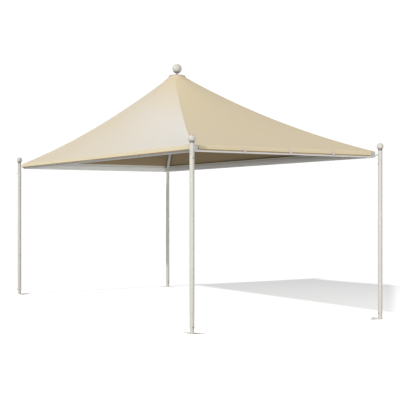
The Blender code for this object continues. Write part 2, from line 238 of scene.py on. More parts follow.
def hexNut(across, height, steps=24, cone=1.03, bevels=(0.10, 0.86)):
    # a hexagon whose corners are chamfered by a cone, standing on Z = 0
    angle = roundTurn(steps)
    flat = across / 2 / np.cos((angle + math.pi / 6) % (math.pi / 3) - math.pi / 6)
    chamfer = np.minimum(flat, across / 2 * cone)
    ring = np.column_stack((np.cos(angle), np.sin(angle)))
    levels = ((chamfer, 0.0), (flat, height * bevels[0]), (flat, height * bevels[1]), (chamfer, height))
    points = np.stack([np.column_stack((ring * reach[:, None], np.full(steps, z))) for reach, z in levels])
    return patch(points, wrapColumns=True, caps=True)


def screwParts(place, axis, look):
    # washer and round head, seated at place and pointing along axis
    place, axis = np.asarray(place, float), np.asarray(axis, float)
    return [aimed(washer(look["hole"], look["washerR"], look["washerThick"], 24), axis, place),
            aimed(dish(look["headR"], look["headHigh"], look["headRim"], 24), axis,
                  place + axis * look["washerThick"])]


def flatPlate(loops, thick, ease):
    # an outline with holes, filled and thickened with an eased rim, standing on Z = 0
    curve = bpy.data.curves.new("plateOutline", "CURVE")
    curve.dimensions, curve.fill_mode = "2D", "BOTH"
    curve.extrude, curve.bevel_depth, curve.bevel_resolution = thick / 2 - ease, ease, 1
    curve.offset = -ease
    for loop in loops:
        spline = curve.splines.new("POLY")
        spline.points.add(len(loop) - 1)
        places = np.column_stack((loop, np.zeros(len(loop)), np.ones(len(loop))))
        spline.points.foreach_set("co", places.ravel())
        spline.use_cyclic_u = True
    holder = addObject("plateOutline", curve)
    mesh = bpy.data.meshes.new_from_object(holder.evaluated_get(bpy.context.evaluated_depsgraph_get()))
    bpy.data.objects.remove(holder, do_unlink=True)
    points, faces = pointPlaces(mesh), [list(polygon.vertices) for polygon in mesh.polygons]
    bpy.data.meshes.remove(mesh)
    return points + upright * thick / 2, faces


# Meshes and pieces

def readArray(items, key, width=1, kind=float):
    values = np.zeros(len(items) * width, kind)
    items.foreach_get(key, values)
    return values.reshape(-1, width) if width > 1 else values


def pointPlaces(mesh):
    return readArray(mesh.vertices, "co", 3)


def cornerPoints(mesh):
    # which point each corner of each face uses
    return readArray(mesh.loops, "vertex_index", kind=np.int32)


def writeUv(mesh, name, places):
    mesh.uv_layers.new(name=name).data.foreach_set("uv", places.ravel())


def writeMark(mesh, name, values, kind="FLOAT", key="value"):
    mesh.attributes.new(name, kind, "POINT").data.foreach_set(key, values.astype(np.float32).ravel())


# the colour written here carries dye together with painted light and shade
def paintDyeAndLight(mesh, color):
    opaque = np.concatenate((color, np.ones((*color.shape[:-1], 1))), axis=-1)
    writeMark(mesh, "dye", opaque, "FLOAT_COLOR", "color")


def reworked(mesh, *steps):
    # the mesh after some steps of bmesh
    work = bmesh.new()
    work.from_mesh(mesh)
    for step in steps:
        step(work)
    work.to_mesh(mesh)
    work.free()


def buildMesh(name, parts, smoothAngle=32, near=0.000002):
    # the parts' points and faces go into one mesh, poles and seams merged, faces pointing outwards
    points, faces, offset = [], [], 0
    for partPoints, partFaces in parts:
        points.append(partPoints)
        faces += [[index + offset for index in face] for face in partFaces]
        offset += len(partPoints)
    mesh = bpy.data.meshes.new(name)
    mesh.from_pydata(np.vstack(points), [], faces)
    reworked(mesh, lambda work: bmesh.ops.remove_doubles(work, verts=work.verts, dist=near),
             lambda work: bmesh.ops.dissolve_degenerate(work, edges=work.edges, dist=near),
             lambda work: bmesh.ops.recalc_face_normals(work, faces=work.faces))
    mesh.shade_smooth()
    mesh.set_sharp_from_angle(angle=math.radians(smoothAngle))
    markEdges(mesh)
    return mesh


def markEdges(mesh, gain=7):
    # "edge" is 0 on flat stretches and rises to 1 where a point's faces look different ways
    pointOf = cornerPoints(mesh)
    total = np.zeros((len(mesh.vertices), 3))
    normals = readArray(mesh.polygons, "normal", 3)
    counts = readArray(mesh.polygons, "loop_total", kind=np.int32)
    np.add.at(total, pointOf, np.repeat(normals, counts, axis=0))
    uses = np.maximum(np.bincount(pointOf, minlength=len(total)), 1)
    writeMark(mesh, "edge", limit((1 - np.linalg.norm(total, axis=1) / uses) * gain))


def sheetMesh(name, points, faces):
    mesh = bpy.data.meshes.new(name)
    mesh.from_pydata(points.reshape(-1, 3), [], faces.tolist())
    mesh.shade_smooth()
    return mesh


def addObject(name, data):
    thing = bpy.data.objects.new(name, data)
    bpy.context.scene.collection.objects.link(thing)
    return thing


def addPiece(name, mesh, material, replaces=()):
    piece = addObject(name, mesh)
    mesh.materials.append(material)
    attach(piece, "root")
    if replaces:
        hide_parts(*replaces)
    return piece


def solidPiece(name, parts, material, replaces=(), smoothAngle=32):
    return addPiece(name, buildMesh(name, parts, smoothAngle), material, replaces)


def cornerPiece(kind, corner, parts, material, replaces=()):
    # parts drawn at the back right corner are mirrored into their own
    mirror = np.array((*corners[corner], 1.0))
    parts = [(points * mirror, faces) for points, faces in parts]
    return solidPiece(kind + "_" + corner, parts, material, replaces)


def addWall(piece, thick, lining=None):
    # a sheet gets its thickness on its inner side, in the lining's material where there is one
    wall = piece.modifiers.new("thickness", "SOLIDIFY")
    wall.thickness, wall.offset = thick, -1.0
    if lining:
        piece.data.materials.append(lining)
        wall.material_offset = 1
    return wall


# Materials

class Wire:
    # one output of a shader tree: arithmetic on it adds Math nodes, and [name] is its node's other output
    def __init__(self, socket):
        self.socket = socket

    def __getitem__(self, key):
        return Wire(self.socket.node.outputs[key])

    def __add__(self, other):
        return mathNode("ADD", self, other)

    def __sub__(self, other):
        return mathNode("SUBTRACT", self, other)

    def __rsub__(self, other):
        return mathNode("SUBTRACT", other, self)

    def __mul__(self, other):
        return mathNode("MULTIPLY", self, other)

    def __truediv__(self, other):
        return mathNode("DIVIDE", self, other)


def feed(socket, value):
    # an input takes a number, a colour or another node's output
    if isinstance(value, Wire):
        socket.id_data.links.new(value.socket, socket)
    else:
        socket.default_value = value


def addNode(tree, kind, values=None, **settings):
    node = tree.nodes.new("ShaderNode" + kind)
    for key, value in settings.items():
        setattr(node, key, value)
    for key, value in (values or {}).items():
        feed(node.inputs[key], value)
    return Wire(node.outputs[0])


def mathNode(operation, *values):
    tree = next(value for value in values if isinstance(value, Wire)).socket.id_data
    return addNode(tree, "Math", dict(enumerate(values)), operation=operation)


def mixColor(factor, first, second):
    return addNode(factor.socket.id_data, "Mix", {0: factor, 6: first, 7: second}, data_type="RGBA")[2]


def brightened(color, gain):
    return addNode(color.socket.id_data, "VectorMath", {0: color, "Scale": gain}, operation="SCALE")


def noise(tree, place, grain, **settings):
    # grain is (scale, detail, roughness)
    values = {"Vector": place, "Scale": grain[0], "Detail": grain[1], "Roughness": grain[2]}
    return addNode(tree, "TexNoise", values, **settings)["Fac"]


def pointMark(tree, name):
    return addNode(tree, "Attribute", attribute_name=name)


def startGroup(name, **inputs):
    # a node group: colours in brackets and plain numbers come in under their names
    tree = bpy.data.node_groups.new(name, "ShaderNodeTree")
    for label, value in inputs.items():
        kind = "NodeSocketFloat" if isinstance(value, float) else "NodeSocketColor"
        tree.interface.new_socket(label, in_out="INPUT", socket_type=kind).default_value = value
    return tree, Wire(tree.nodes.new("NodeGroupInput").outputs[0])


def finishGroup(tree, **results):
    # what the group puts out, under its names
    for label in results:
        kind = "NodeSocketColor" if label == "Color" else "NodeSocketFloat"
        tree.interface.new_socket(label, in_out="OUTPUT", socket_type=kind)
    out = tree.nodes.new("NodeGroupOutput")
    for label, value in results.items():
        feed(out.inputs[label], value)
    return tree


# the darkest colour here is the tone of painted shade
coatLook = dict(peel=(900.0, 2.0, 0.45), cloud=(5.0, 4.0, 0.6), speck=(38.0, 5.0, 0.7), cloudGain=0.05,
                dustTop=0.55, dustRough=0.6, speckRough=0.18, worn=(0.82, 0.81, 0.79, 1),
                dust=(0.42, 0.38, 0.31, 1), paintedShade=(0.10, 0.09, 0.075, 1), bump=(0.0002, 0.35))


def makeCoatGroup():
    # powder coat: faint cloudiness, orange peel, worn edges, dust that gathers near the ground, and painted
    # shade that darkens the coat where a piece carries it as an attribute
    look = coatLook
    tree, inside = startGroup("powderCoat", Color=(0.7, 0.7, 0.7, 1), Wear=0.25, Dust=0.35, Roughness=0.45)
    place = addNode(tree, "TexCoord")["Object"]
    peel, cloud, speck = (noise(tree, place, look[name]) for name in ("peel", "cloud", "speck"))
    low = 1.0 - addNode(tree, "SeparateXYZ", {0: place})["Z"] / look["dustTop"]
    dust = mathNode("MAXIMUM", low, 0.0) * inside["Dust"] * speck
    color = brightened(inside["Color"], (cloud - 0.5) * look["cloudGain"] + 1.0)
    color = mixColor(pointMark(tree, "edge")["Fac"] * speck * inside["Wear"], color, look["worn"])
    # painted shade: the shade attribute darkens the colour towards the darkest tone
    color = mixColor(pointMark(tree, "paintedShade")["Fac"], mixColor(dust, color, look["dust"]), look["paintedShade"])
    rough = inside["Roughness"] + (speck - 0.5) * look["speckRough"] + dust * look["dustRough"]
    return finishGroup(tree, Color=color, Roughness=rough, Height=peel)


weaveLook = dict(thread=0.0011, crossing=0.3, slub=(1.0, 2.0, 0.5),
                 stretches=((9.0, 260.0, 1.0), (260.0, 9.0, 1.0)), slubGain=0.05, slubHeight=0.8,
                 slubPolish=0.12, roughness=0.86, dye=(0.9, 3.0, 0.55), dyeGain=0.05, bump=(0.0004, 0.30))


def makeWeaveGroup():
    # plain weave on UV in metres: warp and weft threads, slubs, and a broad unevenness of the dye
    look = weaveLook
    tree, inside = startGroup("clothWeave", Color=(0.42, 0.37, 0.30, 1))
    place = addNode(tree, "TexCoord")
    apart = addNode(tree, "SeparateXYZ", {0: place["UV"]})
    warp, weft = (mathNode("SINE", apart[axis] * (math.pi / look["thread"])) for axis in "XY")
    threads = mathNode("MAXIMUM", mathNode("ABSOLUTE", warp), mathNode("ABSOLUTE", weft))
    slubs = [noise(tree, addNode(tree, "Mapping", {"Vector": place["UV"], "Scale": stretch}), look["slub"],
                   noise_dimensions="2D") for stretch in look["stretches"]]
    slub = slubs[0] + slubs[1] - 1.0
    dye = (noise(tree, place["Object"], look["dye"]) - 0.5) * look["dyeGain"]
    return finishGroup(tree, Color=brightened(inside["Color"], slub * look["slubGain"] + dye + 1.0),
                       Roughness=look["roughness"] - slub * look["slubPolish"],
                       Height=threads + warp * weft * look["crossing"] + slub * look["slubHeight"])


stitchLook = dict(pitch=0.0045, thread=0.0009, dash=0.78, dent=0.004, raised=2.0, sunk=1.6)


def makeStitchGroup():
    # two rows of lock stitch along U: dashes of thread, each row at its own V, all in metres
    look = stitchLook
    tree, inside = startGroup("stitchRows", Row=0.012)
    apart = addNode(tree, "SeparateXYZ", {0: addNode(tree, "TexCoord")["UV"]})
    away = mathNode("ABSOLUTE", mathNode("ABSOLUTE", apart["Y"]) - inside["Row"])
    near = mathNode("LESS_THAN", away, look["thread"])
    dash = mathNode("LESS_THAN", mathNode("FRACT", apart["X"] / look["pitch"]), look["dash"])
    return finishGroup(tree, Mask=near * dash, Dent=mathNode("MAXIMUM", 1.0 - away / look["dent"], 0.0))


spangleLook = dict(bright=(0.86, 0.2), polish=(0.28, 0.18), edgeGain=0.1, bump=(0.0001, 0.3))


def makeSpangleGroup():
    # zinc plating: crystal patches of slightly different brightness and polish
    look = spangleLook
    tree, inside = startGroup("zincSpangle", Color=(0.6, 0.6, 0.62, 1), Size=260.0)
    place = addNode(tree, "TexCoord")["Object"]
    cells = addNode(tree, "TexVoronoi", {"Vector": place, "Scale": inside["Size"]})
    grey = addNode(tree, "SeparateColor", {0: cells["Color"]})
    bright = (grey[0] * look["bright"][1] + look["bright"][0]
              + pointMark(tree, "edge")["Fac"] * look["edgeGain"])
    return finishGroup(tree, Color=brightened(inside["Color"], bright), Height=grey[2],
                       Roughness=grey[1] * look["polish"][1] + look["polish"][0])


coatGroup, weaveGroup = makeCoatGroup(), makeWeaveGroup()
stitchGroup, spangleGroup = makeStitchGroup(), makeSpangleGroup()


def newMaterial(name, **shaderValues):
    material = bpy.data.materials.new(name)
    material.use_nodes = True
    shader = material.node_tree.nodes["Principled BSDF"].inputs
    for key, value in shaderValues.items():
        shader[key.replace("_", " ")].default_value = value
    return material, material.node_tree, shader


def groupMaterial(name, group, values, bump, **shaderValues):
    # a Principled shader fed by one group; bump is (distance, strength)
    material, tree, shader = newMaterial(name, **shaderValues)
    finish = addNode(tree, "Group", values, node_tree=group)
    relief = addNode(tree, "Bump", {"Distance": bump[0], "Strength": bump[1], "Height": finish["Height"]})
    for key, value in (("Base Color", finish["Color"]), ("Roughness", finish["Roughness"]),
                       ("Normal", relief)):
        feed(shader[key], value)
    return material, finish, relief


def coatMaterial(name, color, roughness, dust=0.35, wear=0.25, shine=0.2):
    values = {"Color": (*color, 1), "Roughness": roughness, "Dust": dust, "Wear": wear}
    return groupMaterial(name, coatGroup, values, coatLook["bump"], Specular_IOR_Level=shine)[0]


def zincMaterial(name, color, size, metallic):
    return groupMaterial(name, spangleGroup, {"Color": (*color, 1), "Size": size}, spangleLook["bump"],
                         Metallic=metallic, Specular_IOR_Level=0.25)[0]


def plainCloth(name, color):
    return groupMaterial(name, weaveGroup, {"Color": (*color, 1)}, weaveLook["bump"],
                         Specular_IOR_Level=0.2)[0]


def dyedCloth(name):
    # woven cloth whose dye, which carries painted highlight and painted shade, is painted on the piece's own
    # points
    material, finish, relief = groupMaterial(name, weaveGroup, {}, weaveLook["bump"], Sheen_Weight=0.12,
                                             Specular_IOR_Level=0.3)
    feed(finish.socket.node.inputs["Color"], pointMark(material.node_tree, "dye"))
    return material, finish, relief


def tapeMaterial(name, row):
    # seam tape: the same cloth with two rows of stitches on it
    material, finish, relief = dyedCloth(name)
    tree = material.node_tree
    rows = addNode(tree, "Group", {"Row": row}, node_tree=stitchGroup)
    feed(tree.nodes["Principled BSDF"].inputs["Base Color"],
         mixColor(rows["Mask"], finish["Color"], (*clothLook["thread"], 1)))
    feed(relief.socket.node.inputs["Height"],
         finish["Height"] + rows["Mask"] * stitchLook["raised"] - rows["Dent"] * stitchLook["sunk"])
    return material


# painted light in these colours: the long panels pale towards cream as a painted highlight, the lining is
# darkened as painted shade under the roof, the hem edge's dark tone paints the shade under the hem, and the
# end hem is a little paler as painted light
clothLook = dict(sand=(0.480, 0.395, 0.25), cream=(0.515, 0.492, 0.455), hem=(0.472, 0.415, 0.281),
                 endHem=(0.50, 0.425, 0.285), under=(0.24, 0.178, 0.099), edge=(0.26, 0.195, 0.115),
                 thread=(0.50, 0.44, 0.35), band=(0.50, 0.485, 0.43), hipGain=0.22, hipReach=0.32,
                 hipStart=(0.12, 0.6), hipSoft=0.16, fade=(0.56, 0.36, 0.05), topFade=(1.42, 1.32),
                 bulgeShade=0.025, topShade=0.05, warmth=(0.01, 0.025, 0.04), hemT=0.006)

postPaint = coatMaterial("creamPowderCoat", (0.390, 0.377, 0.343), 0.42, shine=0.3)
ballPaint = coatMaterial("offWhiteBallPaint", (0.407, 0.393, 0.364), 0.34, dust=0.1)
framePaint = coatMaterial("greyWhiteFramePaint", (0.441, 0.441, 0.425), 0.45, dust=0.1)
zincPlate = zincMaterial("zincPlate", (0.43, 0.415, 0.44), 260.0, 0.2)
strapZinc = zincMaterial("strapZinc", (0.37, 0.36, 0.345), 260.0, 0.2)
boltSteel = zincMaterial("boltSteel", (0.13, 0.125, 0.12), 500.0, 0.3)
footPaint = coatMaterial("pearlFootPaint", (0.73, 0.705, 0.67), 0.5)
# near black: painted shadow in the gap beside each front strap
strapGapShadow = coatMaterial("strapGapShadow", (0.045, 0.038, 0.03), 0.7, dust=0.1, wear=0.0)
# the lining is darker than the cloth's outer face: painted shade under the roof
canopyCloth, canopyLining = dyedCloth("sandCanopyCloth")[0], plainCloth("canopyUnderside", clothLook["under"])
hipTape, hemTape = tapeMaterial("hipSeamTape", 0.018), tapeMaterial("hemTape", 0.016)
# the hem edge's dark tone is painted shade under the hem
hemEdge, eaveBand = plainCloth("hemEdge", clothLook["edge"]), plainCloth("eaveBand", clothLook["band"])
print("materials made:", len(bpy.data.materials))


# Feet and posts

footLook = dict(plateThick=0.007, cutTip=0.016, cornerR=0.005, plateEase=0.0012, holeR=0.006, holeAlong=0.135,
                holeOut=0.008, wall=0.003, gap=0.0003, sunk=0.001, ease=0.0006, weld=0.0034, steps=64)


def makeFoot(corner):
    # a right triangle with cut tips and two holes, thickened, and a thin tube turned round the post's axis
    look = footLook
    centre = postFoot[:2]
    out, reach, tip = m["plateOut"], m["plateIn"], look["cutTip"]
    outline = np.array(((out, out), (tip - reach, out), (-reach, out - tip), (out - tip, -reach),
                        (out, tip - reach)))
    holes = [circle(look["holeR"], centre + place)
             for place in ((-look["holeAlong"], look["holeOut"]), (look["holeOut"], -look["holeAlong"]))]
    plate = flatPlate([roundCorners(outline + centre, look["cornerR"]), *holes], look["plateThick"],
                      look["plateEase"])
    outer = m["postR"] - look["wall"] - look["gap"]
    section = rectangle(outer, outer - look["wall"], look["plateThick"] - look["sunk"], m["spigotTop"])
    tube = turned(roundCorners(section, look["ease"], 2), postFoot, look["steps"])
    bead = weldRing(outer + look["ease"], look["weld"], (*centre, look["plateThick"] + look["ease"]))
    cornerPiece("groundPlate", corner, [plate], footPaint, ["foot_" + corner])
    cornerPiece("plateSpigot", corner, [tube, bead], postPaint)


postLook = dict(wall=0.003, ease=0.0009, steps=72)


def makePost(corner):
    # an upright tube: the section of its wall turned round its axis
    look = postLook
    section = rectangle(m["postR"], m["postR"] - look["wall"], m["postBottom"], m["postTop"])
    tube = turned(roundCorners(section, look["ease"], 3), postFoot, look["steps"])
    cornerPiece("steelPost", corner, [tube], postPaint, ["post_" + corner])


# Corner fittings

# the three keys before steps set the painted shadow that each ball casts on its head tube's top
fittingLook = dict(armR=0.014, armZ=2.268, armStart=0.0255, armSides=40, armWeld=0.0026, blockWeld=0.0022,
                   armLap=0.0005, armBead=(0.0004, 0.0012), padShort=0.0001,
                   sheet=0.003, gap=0.0003, block=0.019, strap=(2.238, 2.2965), strapR=0.0005,
                   lug=(2.240, 2.284), lugR=(0.001, 0.003, 0.0035, 0.001), longLeg=0.030, web=0.016,
                   webLap=0.001, fingers=((2.238, 0.0125, 0.061), (2.2575, 0.039, 0.0496)),
                   fingerR=(0.0003, 0.0003, 0.005, 0.005), padThick=0.0014,
                   pad=(0.058, 0.022, 2.2530, 2.2990), padR=0.0015, screwIn=0.010, sleeveWall=0.003,
                   chamfer=(0.006, 0.003), tubeR=0.0007, dirt=0.9, dirtTall=0.016, dirtSoft=0.003, steps=72)


def strapParts(look):
    # outlines carried along their height or thickness: a lug on the side of the frame's corner, and over
    # the end face a strap, which is a web and two fingers
    faceX, faceY = m["frameX"] + look["gap"], m["frameY"] + look["gap"]
    outX, padX, webY = faceX + look["sheet"], faceX + look["padThick"], faceY - look["web"]
    lug = rectangle(outX - look["longLeg"], outX, faceY, faceY + look["block"])
    web = rectangle(padX, outX, webY, faceY + look["webLap"])
    parts = [carried(roundCorners(outline, radius, 5), np.outer(heights, upright), (1, 0, 0), (0, 1, 0))
             for outline, radius, heights in ((lug, look["lugR"], look["lug"]),
                                              (web, look["strapR"], look["strap"]))]
    for low, tall, reach in look["fingers"]:
        finger = rectangle(webY + look["strapR"], m["frameY"] - reach, low, low + tall)
        parts.append(carried(roundCorners(finger, look["fingerR"], 5), ((padX, 0, 0), (outX, 0, 0)),
                             (0, 1, 0), upright))
    return parts


def padPart(look):
    # a thin dark pad between a front strap and the beam, showing past the strap's upper finger: painted
    # shadow in the gap there
    faceX, (near, far, low, high) = m["frameX"] + look["gap"], look["pad"]
    outline = roundCorners(rectangle(m["frameY"] - near, m["frameY"] - far, low, high), look["padR"], 3)
    return carried(outline, ((faceX, 0, 0), (faceX + look["padThick"] - look["padShort"], 0, 0)),
                   (0, 1, 0), upright)


def armParts(look):
    # a short tube from the head to the block, each line along it ending where it meets the block, welded at
    # both ends
    inward = np.array((-1.0, -1.0, 0.0)) / math.sqrt(2)
    aside = np.array((inward[1], -inward[0], 0.0))
    centre = postFoot + upright * look["armZ"]
    angle = roundTurn(look["armSides"])
    across, height = look["armR"] * np.cos(angle), look["armR"] * np.sin(angle)
    toX = m["postX"] - m["frameX"] - look["gap"] - look["sheet"]
    toY = m["postY"] - m["frameY"] - look["gap"] - look["block"]
    last = np.maximum(toX * math.sqrt(2) - across, toY * math.sqrt(2) + across) + look["armLap"]
    reach = np.stack((np.full_like(last, look["armStart"]), last))
    points = centre + reach[..., None] * inward + across[:, None] * aside + height[:, None] * upright
    ring = weldRing(look["armR"] + look["armBead"][0], look["armWeld"], (0, 0, 0))
    return [patch(points, wrapColumns=True, caps=True), weldLoop(points[1], look["blockWeld"]),
            aimed(ring, inward, centre + inward * (m["postR"] + look["armBead"][1]))]


clipScrew = dict(hole=0.0035, washerR=0.0072, washerThick=0.0011, headR=0.0056, headHigh=0.0036,
                 headRim=0.0012)


def makeCornerFitting(corner):
    # the head tube's wall, with the sleeve that goes down into the post, turned round the post's axis
    look = fittingLook
    outer = m["postR"]
    bore = outer - postLook["wall"]
    sleeve = bore - look["gap"]
    inner = sleeve - look["sleeveWall"]
    jointZ = m["postTop"] + look["gap"]
    ballShadowLow = m["headTop"] - look["dirtTall"]
    section = ((outer, m["headTop"]), (bore, m["headTop"]), (bore, jointZ + look["chamfer"][0]),
               (inner, jointZ + look["chamfer"][1]), (inner, m["sleeveBottom"]), (sleeve, m["sleeveBottom"]),
               (sleeve, jointZ), (outer, jointZ))
    levels = ((outer, ballShadowLow - look["dirtSoft"]), (outer, ballShadowLow))
    tube = turned(np.vstack((roundCorners(section, look["tubeR"], 2), levels)), postFoot, look["steps"])
    head = cornerPiece("headTube", corner, [tube, *armParts(look)], postPaint,
                       ["corner_fitting_" + corner])
    # painted shadow of the ball: the head tube's top is dark, fading out just below
    inBallShadow = limit((pointPlaces(head.data)[:, 2] - ballShadowLow) / look["dirtSoft"] + 1)
    writeMark(head.data, "paintedShade", look["dirt"] * inBallShadow)
    cornerPiece("cornerStrap", corner, strapParts(look), strapZinc)
    if corner.startswith("front"):
        # the dark pad is painted shadow
        cornerPiece("strapPad", corner, [padPart(look)], strapGapShadow)
    faceX = m["frameX"] + look["gap"] + look["sheet"]
    screws = [part for low, tall, reach in look["fingers"] for part in screwParts(
        (faceX, m["frameY"] - reach + look["screwIn"], low + tall / 2), (1, 0, 0), clipScrew)]
    cornerPiece("clipScrews", corner, screws, zincPlate)


postBolt = dict(levels=(0.088, 2.142), seat=0.0006, washerR=0.0095, washerThick=0.0016, hole=0.004,
                headR=0.0078, headHigh=0.0050, headRim=0.0014, nutAcross=0.0130, nutHigh=0.0064,
                tipR=0.0040, tipHigh=0.0030, tipRim=0.0018, tipSunk=0.0002)


def makePostBolts(corner):
    # through bolts that pin the post on its spigot and its head: round head one side, nut the other
    look = postBolt
    signX, signY = corners[corner]
    axis = np.array((1.0, 0.0, 0.0) if signX * signY < 0 else (0.0, -1.0, 0.0))
    parts = []
    for level in look["levels"]:
        front = axis * (m["postR"] - look["seat"])
        back, middle = -front, postFoot + upright * level
        tip = look["washerThick"] + look["nutHigh"] - look["tipSunk"]
        parts += screwParts(middle + front, axis, look)
        parts += [aimed(part, -axis, middle + back - axis * rise) for part, rise in (
            (washer(look["hole"], look["washerR"], look["washerThick"]), 0.0),
            (hexNut(look["nutAcross"], look["nutHigh"]), look["washerThick"]),
            (dish(look["tipR"], look["tipHigh"], look["tipRim"], 20), tip))]
    cornerPiece("postBolts", corner, parts, boltSteel)


# the last two keys set the painted shade on the ball's underside
ballLook = dict(rings=40, steps=80, neckEase=0.001, collar=0.0014, collarIn=0.0012, collarUp=0.0009,
                ripples=40, paintedShade=0.8, grimeFrom=-0.30)


def ballArc(radius, top, neckR):
    # from the top of the ball round to where its neck leaves it
    angle = np.linspace(0, math.pi - math.asin(neckR / radius), ballLook["rings"])
    return np.column_stack((radius * np.sin(angle), top - radius + radius * np.cos(angle)))


def paintBallShade(mesh, radius, top):
    # painted shade on the underside of a ball, darker towards the bottom
    depth, first = (pointPlaces(mesh)[:, 2] - top + radius) / radius, ballLook["grimeFrom"]
    writeMark(mesh, "paintedShade",
              ballLook["paintedShade"] * smooth(limit((first - depth) / (1 + first)) * (depth > -1.0)))


def makeBall(corner):
    # an arc and a neck turned round the post's axis, over a ring of weld on the head tube
    look = ballLook
    neck = m["postR"] - postLook["wall"] - fittingLook["gap"]
    profile = np.vstack((ballArc(m["ballR"], m["ballTop"], neck), (neck, m["neckBottom"] + look["neckEase"]),
                         (neck - look["neckEase"], m["neckBottom"]), (0.0, m["neckBottom"])))
    centre = postFoot * (*corners[corner], 1)
    bead = weldRing(m["postR"] - look["collarIn"], look["collar"],
                    centre + upright * (m["headTop"] + look["collarUp"]), look["ripples"],
                    4 * look["ripples"])
    ball = solidPiece("postBall_" + corner, [turned(profile, centre, look["steps"], wrapRows=False), bead],
                      ballPaint, ["ball_finial_" + corner])
    # painted shade under the ball
    paintBallShade(ball.data, m["ballR"], m["ballTop"])


for cornerName in corners:
    for make in (makeFoot, makePost, makeCornerFitting, makePostBolts, makeBall):
        make(cornerName)
print("posts, fittings and finials made")


# Sides: 0 front, 1 right, 2 back, 3 left

def sideAxes(index):
    # the directions along a side and out of it
    turn = index * math.pi / 2
    return (np.array((round(math.cos(turn)), round(math.sin(turn)), 0.0)),
            np.array((round(math.sin(turn)), -round(math.cos(turn)), 0.0)))


def halfSpan(side):
    # half the length of a side's eave, which is also how far out its neighbours lie
    return np.where(side % 2 == 0, m["clothX"], m["clothY"])


# Eave frame

beamLook = dict(cornerR=0.009, wall=0.0025, plugIn=0.0012, plugThick=0.004, plugGap=0.0002, weld=0.0024,
                weldIn=(0.0002, 0.0004, 0.004), insetEase=0.8)


def beamSection(inset=0.0):
    # rectangle with round corners, round the origin
    wide, tall = m["beamWide"] / 2 - inset, (m["beamTop"] - m["beamBottom"]) / 2 - inset
    radius = beamLook["cornerR"] - inset * beamLook["insetEase"]
    return roundCorners(rectangle(wide, -wide, -tall, tall), radius, 4)


def makeBeam(index):
    # a rectangular tube: the outer and the inner section carried between its ends; plugs close the long
    # ones and welds hold the short ones to them
    look = beamLook
    along, outward = sideAxes(index)
    isLong = index % 2 == 0
    half, out = (m["frameX"], m["frameY"]) if isLong else (m["endHalf"], m["frameX"])
    middle = outward * (out - m["beamWide"] / 2) + upright * (m["beamTop"] + m["beamBottom"]) / 2
    outer, inner = beamSection(), beamSection(look["wall"])
    rings = [middle + reach * along + section[:, :1] * outward + section[:, 1:] * upright
             for section, reach in ((outer, -half), (outer, half), (inner, half), (inner, -half))]
    parts = [patch(np.stack(rings), wrapRows=True, wrapColumns=True)]
    for end in (-1, 1):
        if isLong:
            reach = half - look["plugIn"]
            path = [middle + end * (reach - step) * along for step in (look["plugThick"], 0)]
            parts.append(carried(beamSection(look["wall"] + look["plugGap"]), path, outward, upright))
            continue
        past, inside, short = look["weldIn"]
        for edge in (-1, 1):
            foot = middle + end * (half + past) * along + edge * (m["beamWide"] / 2 - inside) * outward
            foot[2] = m["beamBottom"] + short
            parts.append(weldLine(foot, foot + upright * (m["beamTop"] - m["beamBottom"] - 2 * short),
                                  look["weld"]))
    solidPiece("eaveBeam_" + sides[index], parts, framePaint, ["beam_" + sides[index]])


for sideIndex in range(4):
    makeBeam(sideIndex)


# Roof surface: four panels that run from the straight eave into a round crown

roof = dict(eaveZ=2.3073, riseFirst=0.830, riseSecond=0.4455, bulge=0.030, crownR=0.1414, cornerR=0.05)


def roofPoint(side, u, t):
    # u runs -1 to 1 from hip to hip, t 0 to 1 from eave to crown; straight lines in plan from the eave to
    # an arc of the crown, height a parabola of t, and a slight bulge of the cloth between the hips
    angle = u * math.pi / 4
    along = halfSpan(side) * u * (1 - t) + roof["crownR"] * np.sin(angle) * t
    away = halfSpan(side + 1) * (1 - t) + roof["crownR"] * np.cos(angle) * t
    height = roof["eaveZ"] + roof["riseFirst"] * t + roof["riseSecond"] * t * t \
        + roof["bulge"] * 4 * t * (1 - t) * (1 - u * u)
    turn = side * math.pi / 2
    return easeCorners(np.stack((along * np.cos(turn) + away * np.sin(turn),
                                 along * np.sin(turn) - away * np.cos(turn), height), axis=-1))


def easeCorners(points):
    # in plan, squares round an arc's centre shrink to circles, so that each corner of the eave swings round
    past = np.clip(np.abs(points[..., :2]) - np.array((m["clothX"], m["clothY"])) + roof["cornerR"], 0, None)
    far = np.maximum(np.hypot(past[..., 0], past[..., 1]), 1e-9)
    back = past * (1 - past.max(axis=-1) / far)[..., None]
    return np.concatenate((points[..., :2] - np.sign(points[..., :2]) * back, points[..., 2:]), axis=-1)


def gridNormals(points):
    # unit normals of a grid of points, from the differences between neighbours, all pointing up or out
    normal = np.cross(np.gradient(points, axis=1), np.gradient(points, axis=0))
    return normal / np.maximum(np.linalg.norm(normal, axis=-1, keepdims=True), 1e-9)


def crownRings(side, u, rings):
    # rings of (radius, height) round the crown, each point on its panel's heading
    heading = (side + u / 2 - 1) * math.pi / 2
    return np.stack([np.stack((radius * np.cos(heading), radius * np.sin(heading), np.full_like(u, height)),
                              axis=-1) for radius, height in rings])


# Rafters and crown

rafterLook = dict(radius=0.0275, wall=0.003, clothGap=0.0036, sides=48, rows=64, gap=0.0003, weld=0.0026,
                  footT=(-0.03, 0.08), headT=(0.9, 1.04), halvings=40, step=1e-4)


def rafterLine(t, signs):
    # the tube's centre hangs below the hip so that it clears the steeper panel
    crown = roof["crownR"] / math.sqrt(2)
    x, y = (m[key] * (1 - t) + crown * t for key in ("clothX", "clothY"))
    slope = (roof["riseFirst"] + 2 * roof["riseSecond"] * t) / (m["clothY"] - crown)
    drop = (rafterLook["radius"] + rafterLook["clothGap"]) * np.sqrt(1 + slope * slope)
    height = roof["eaveZ"] + roof["riseFirst"] * t + roof["riseSecond"] * t * t - drop
    return np.stack((signs[0] * x, signs[1] * y, height), axis=-1)


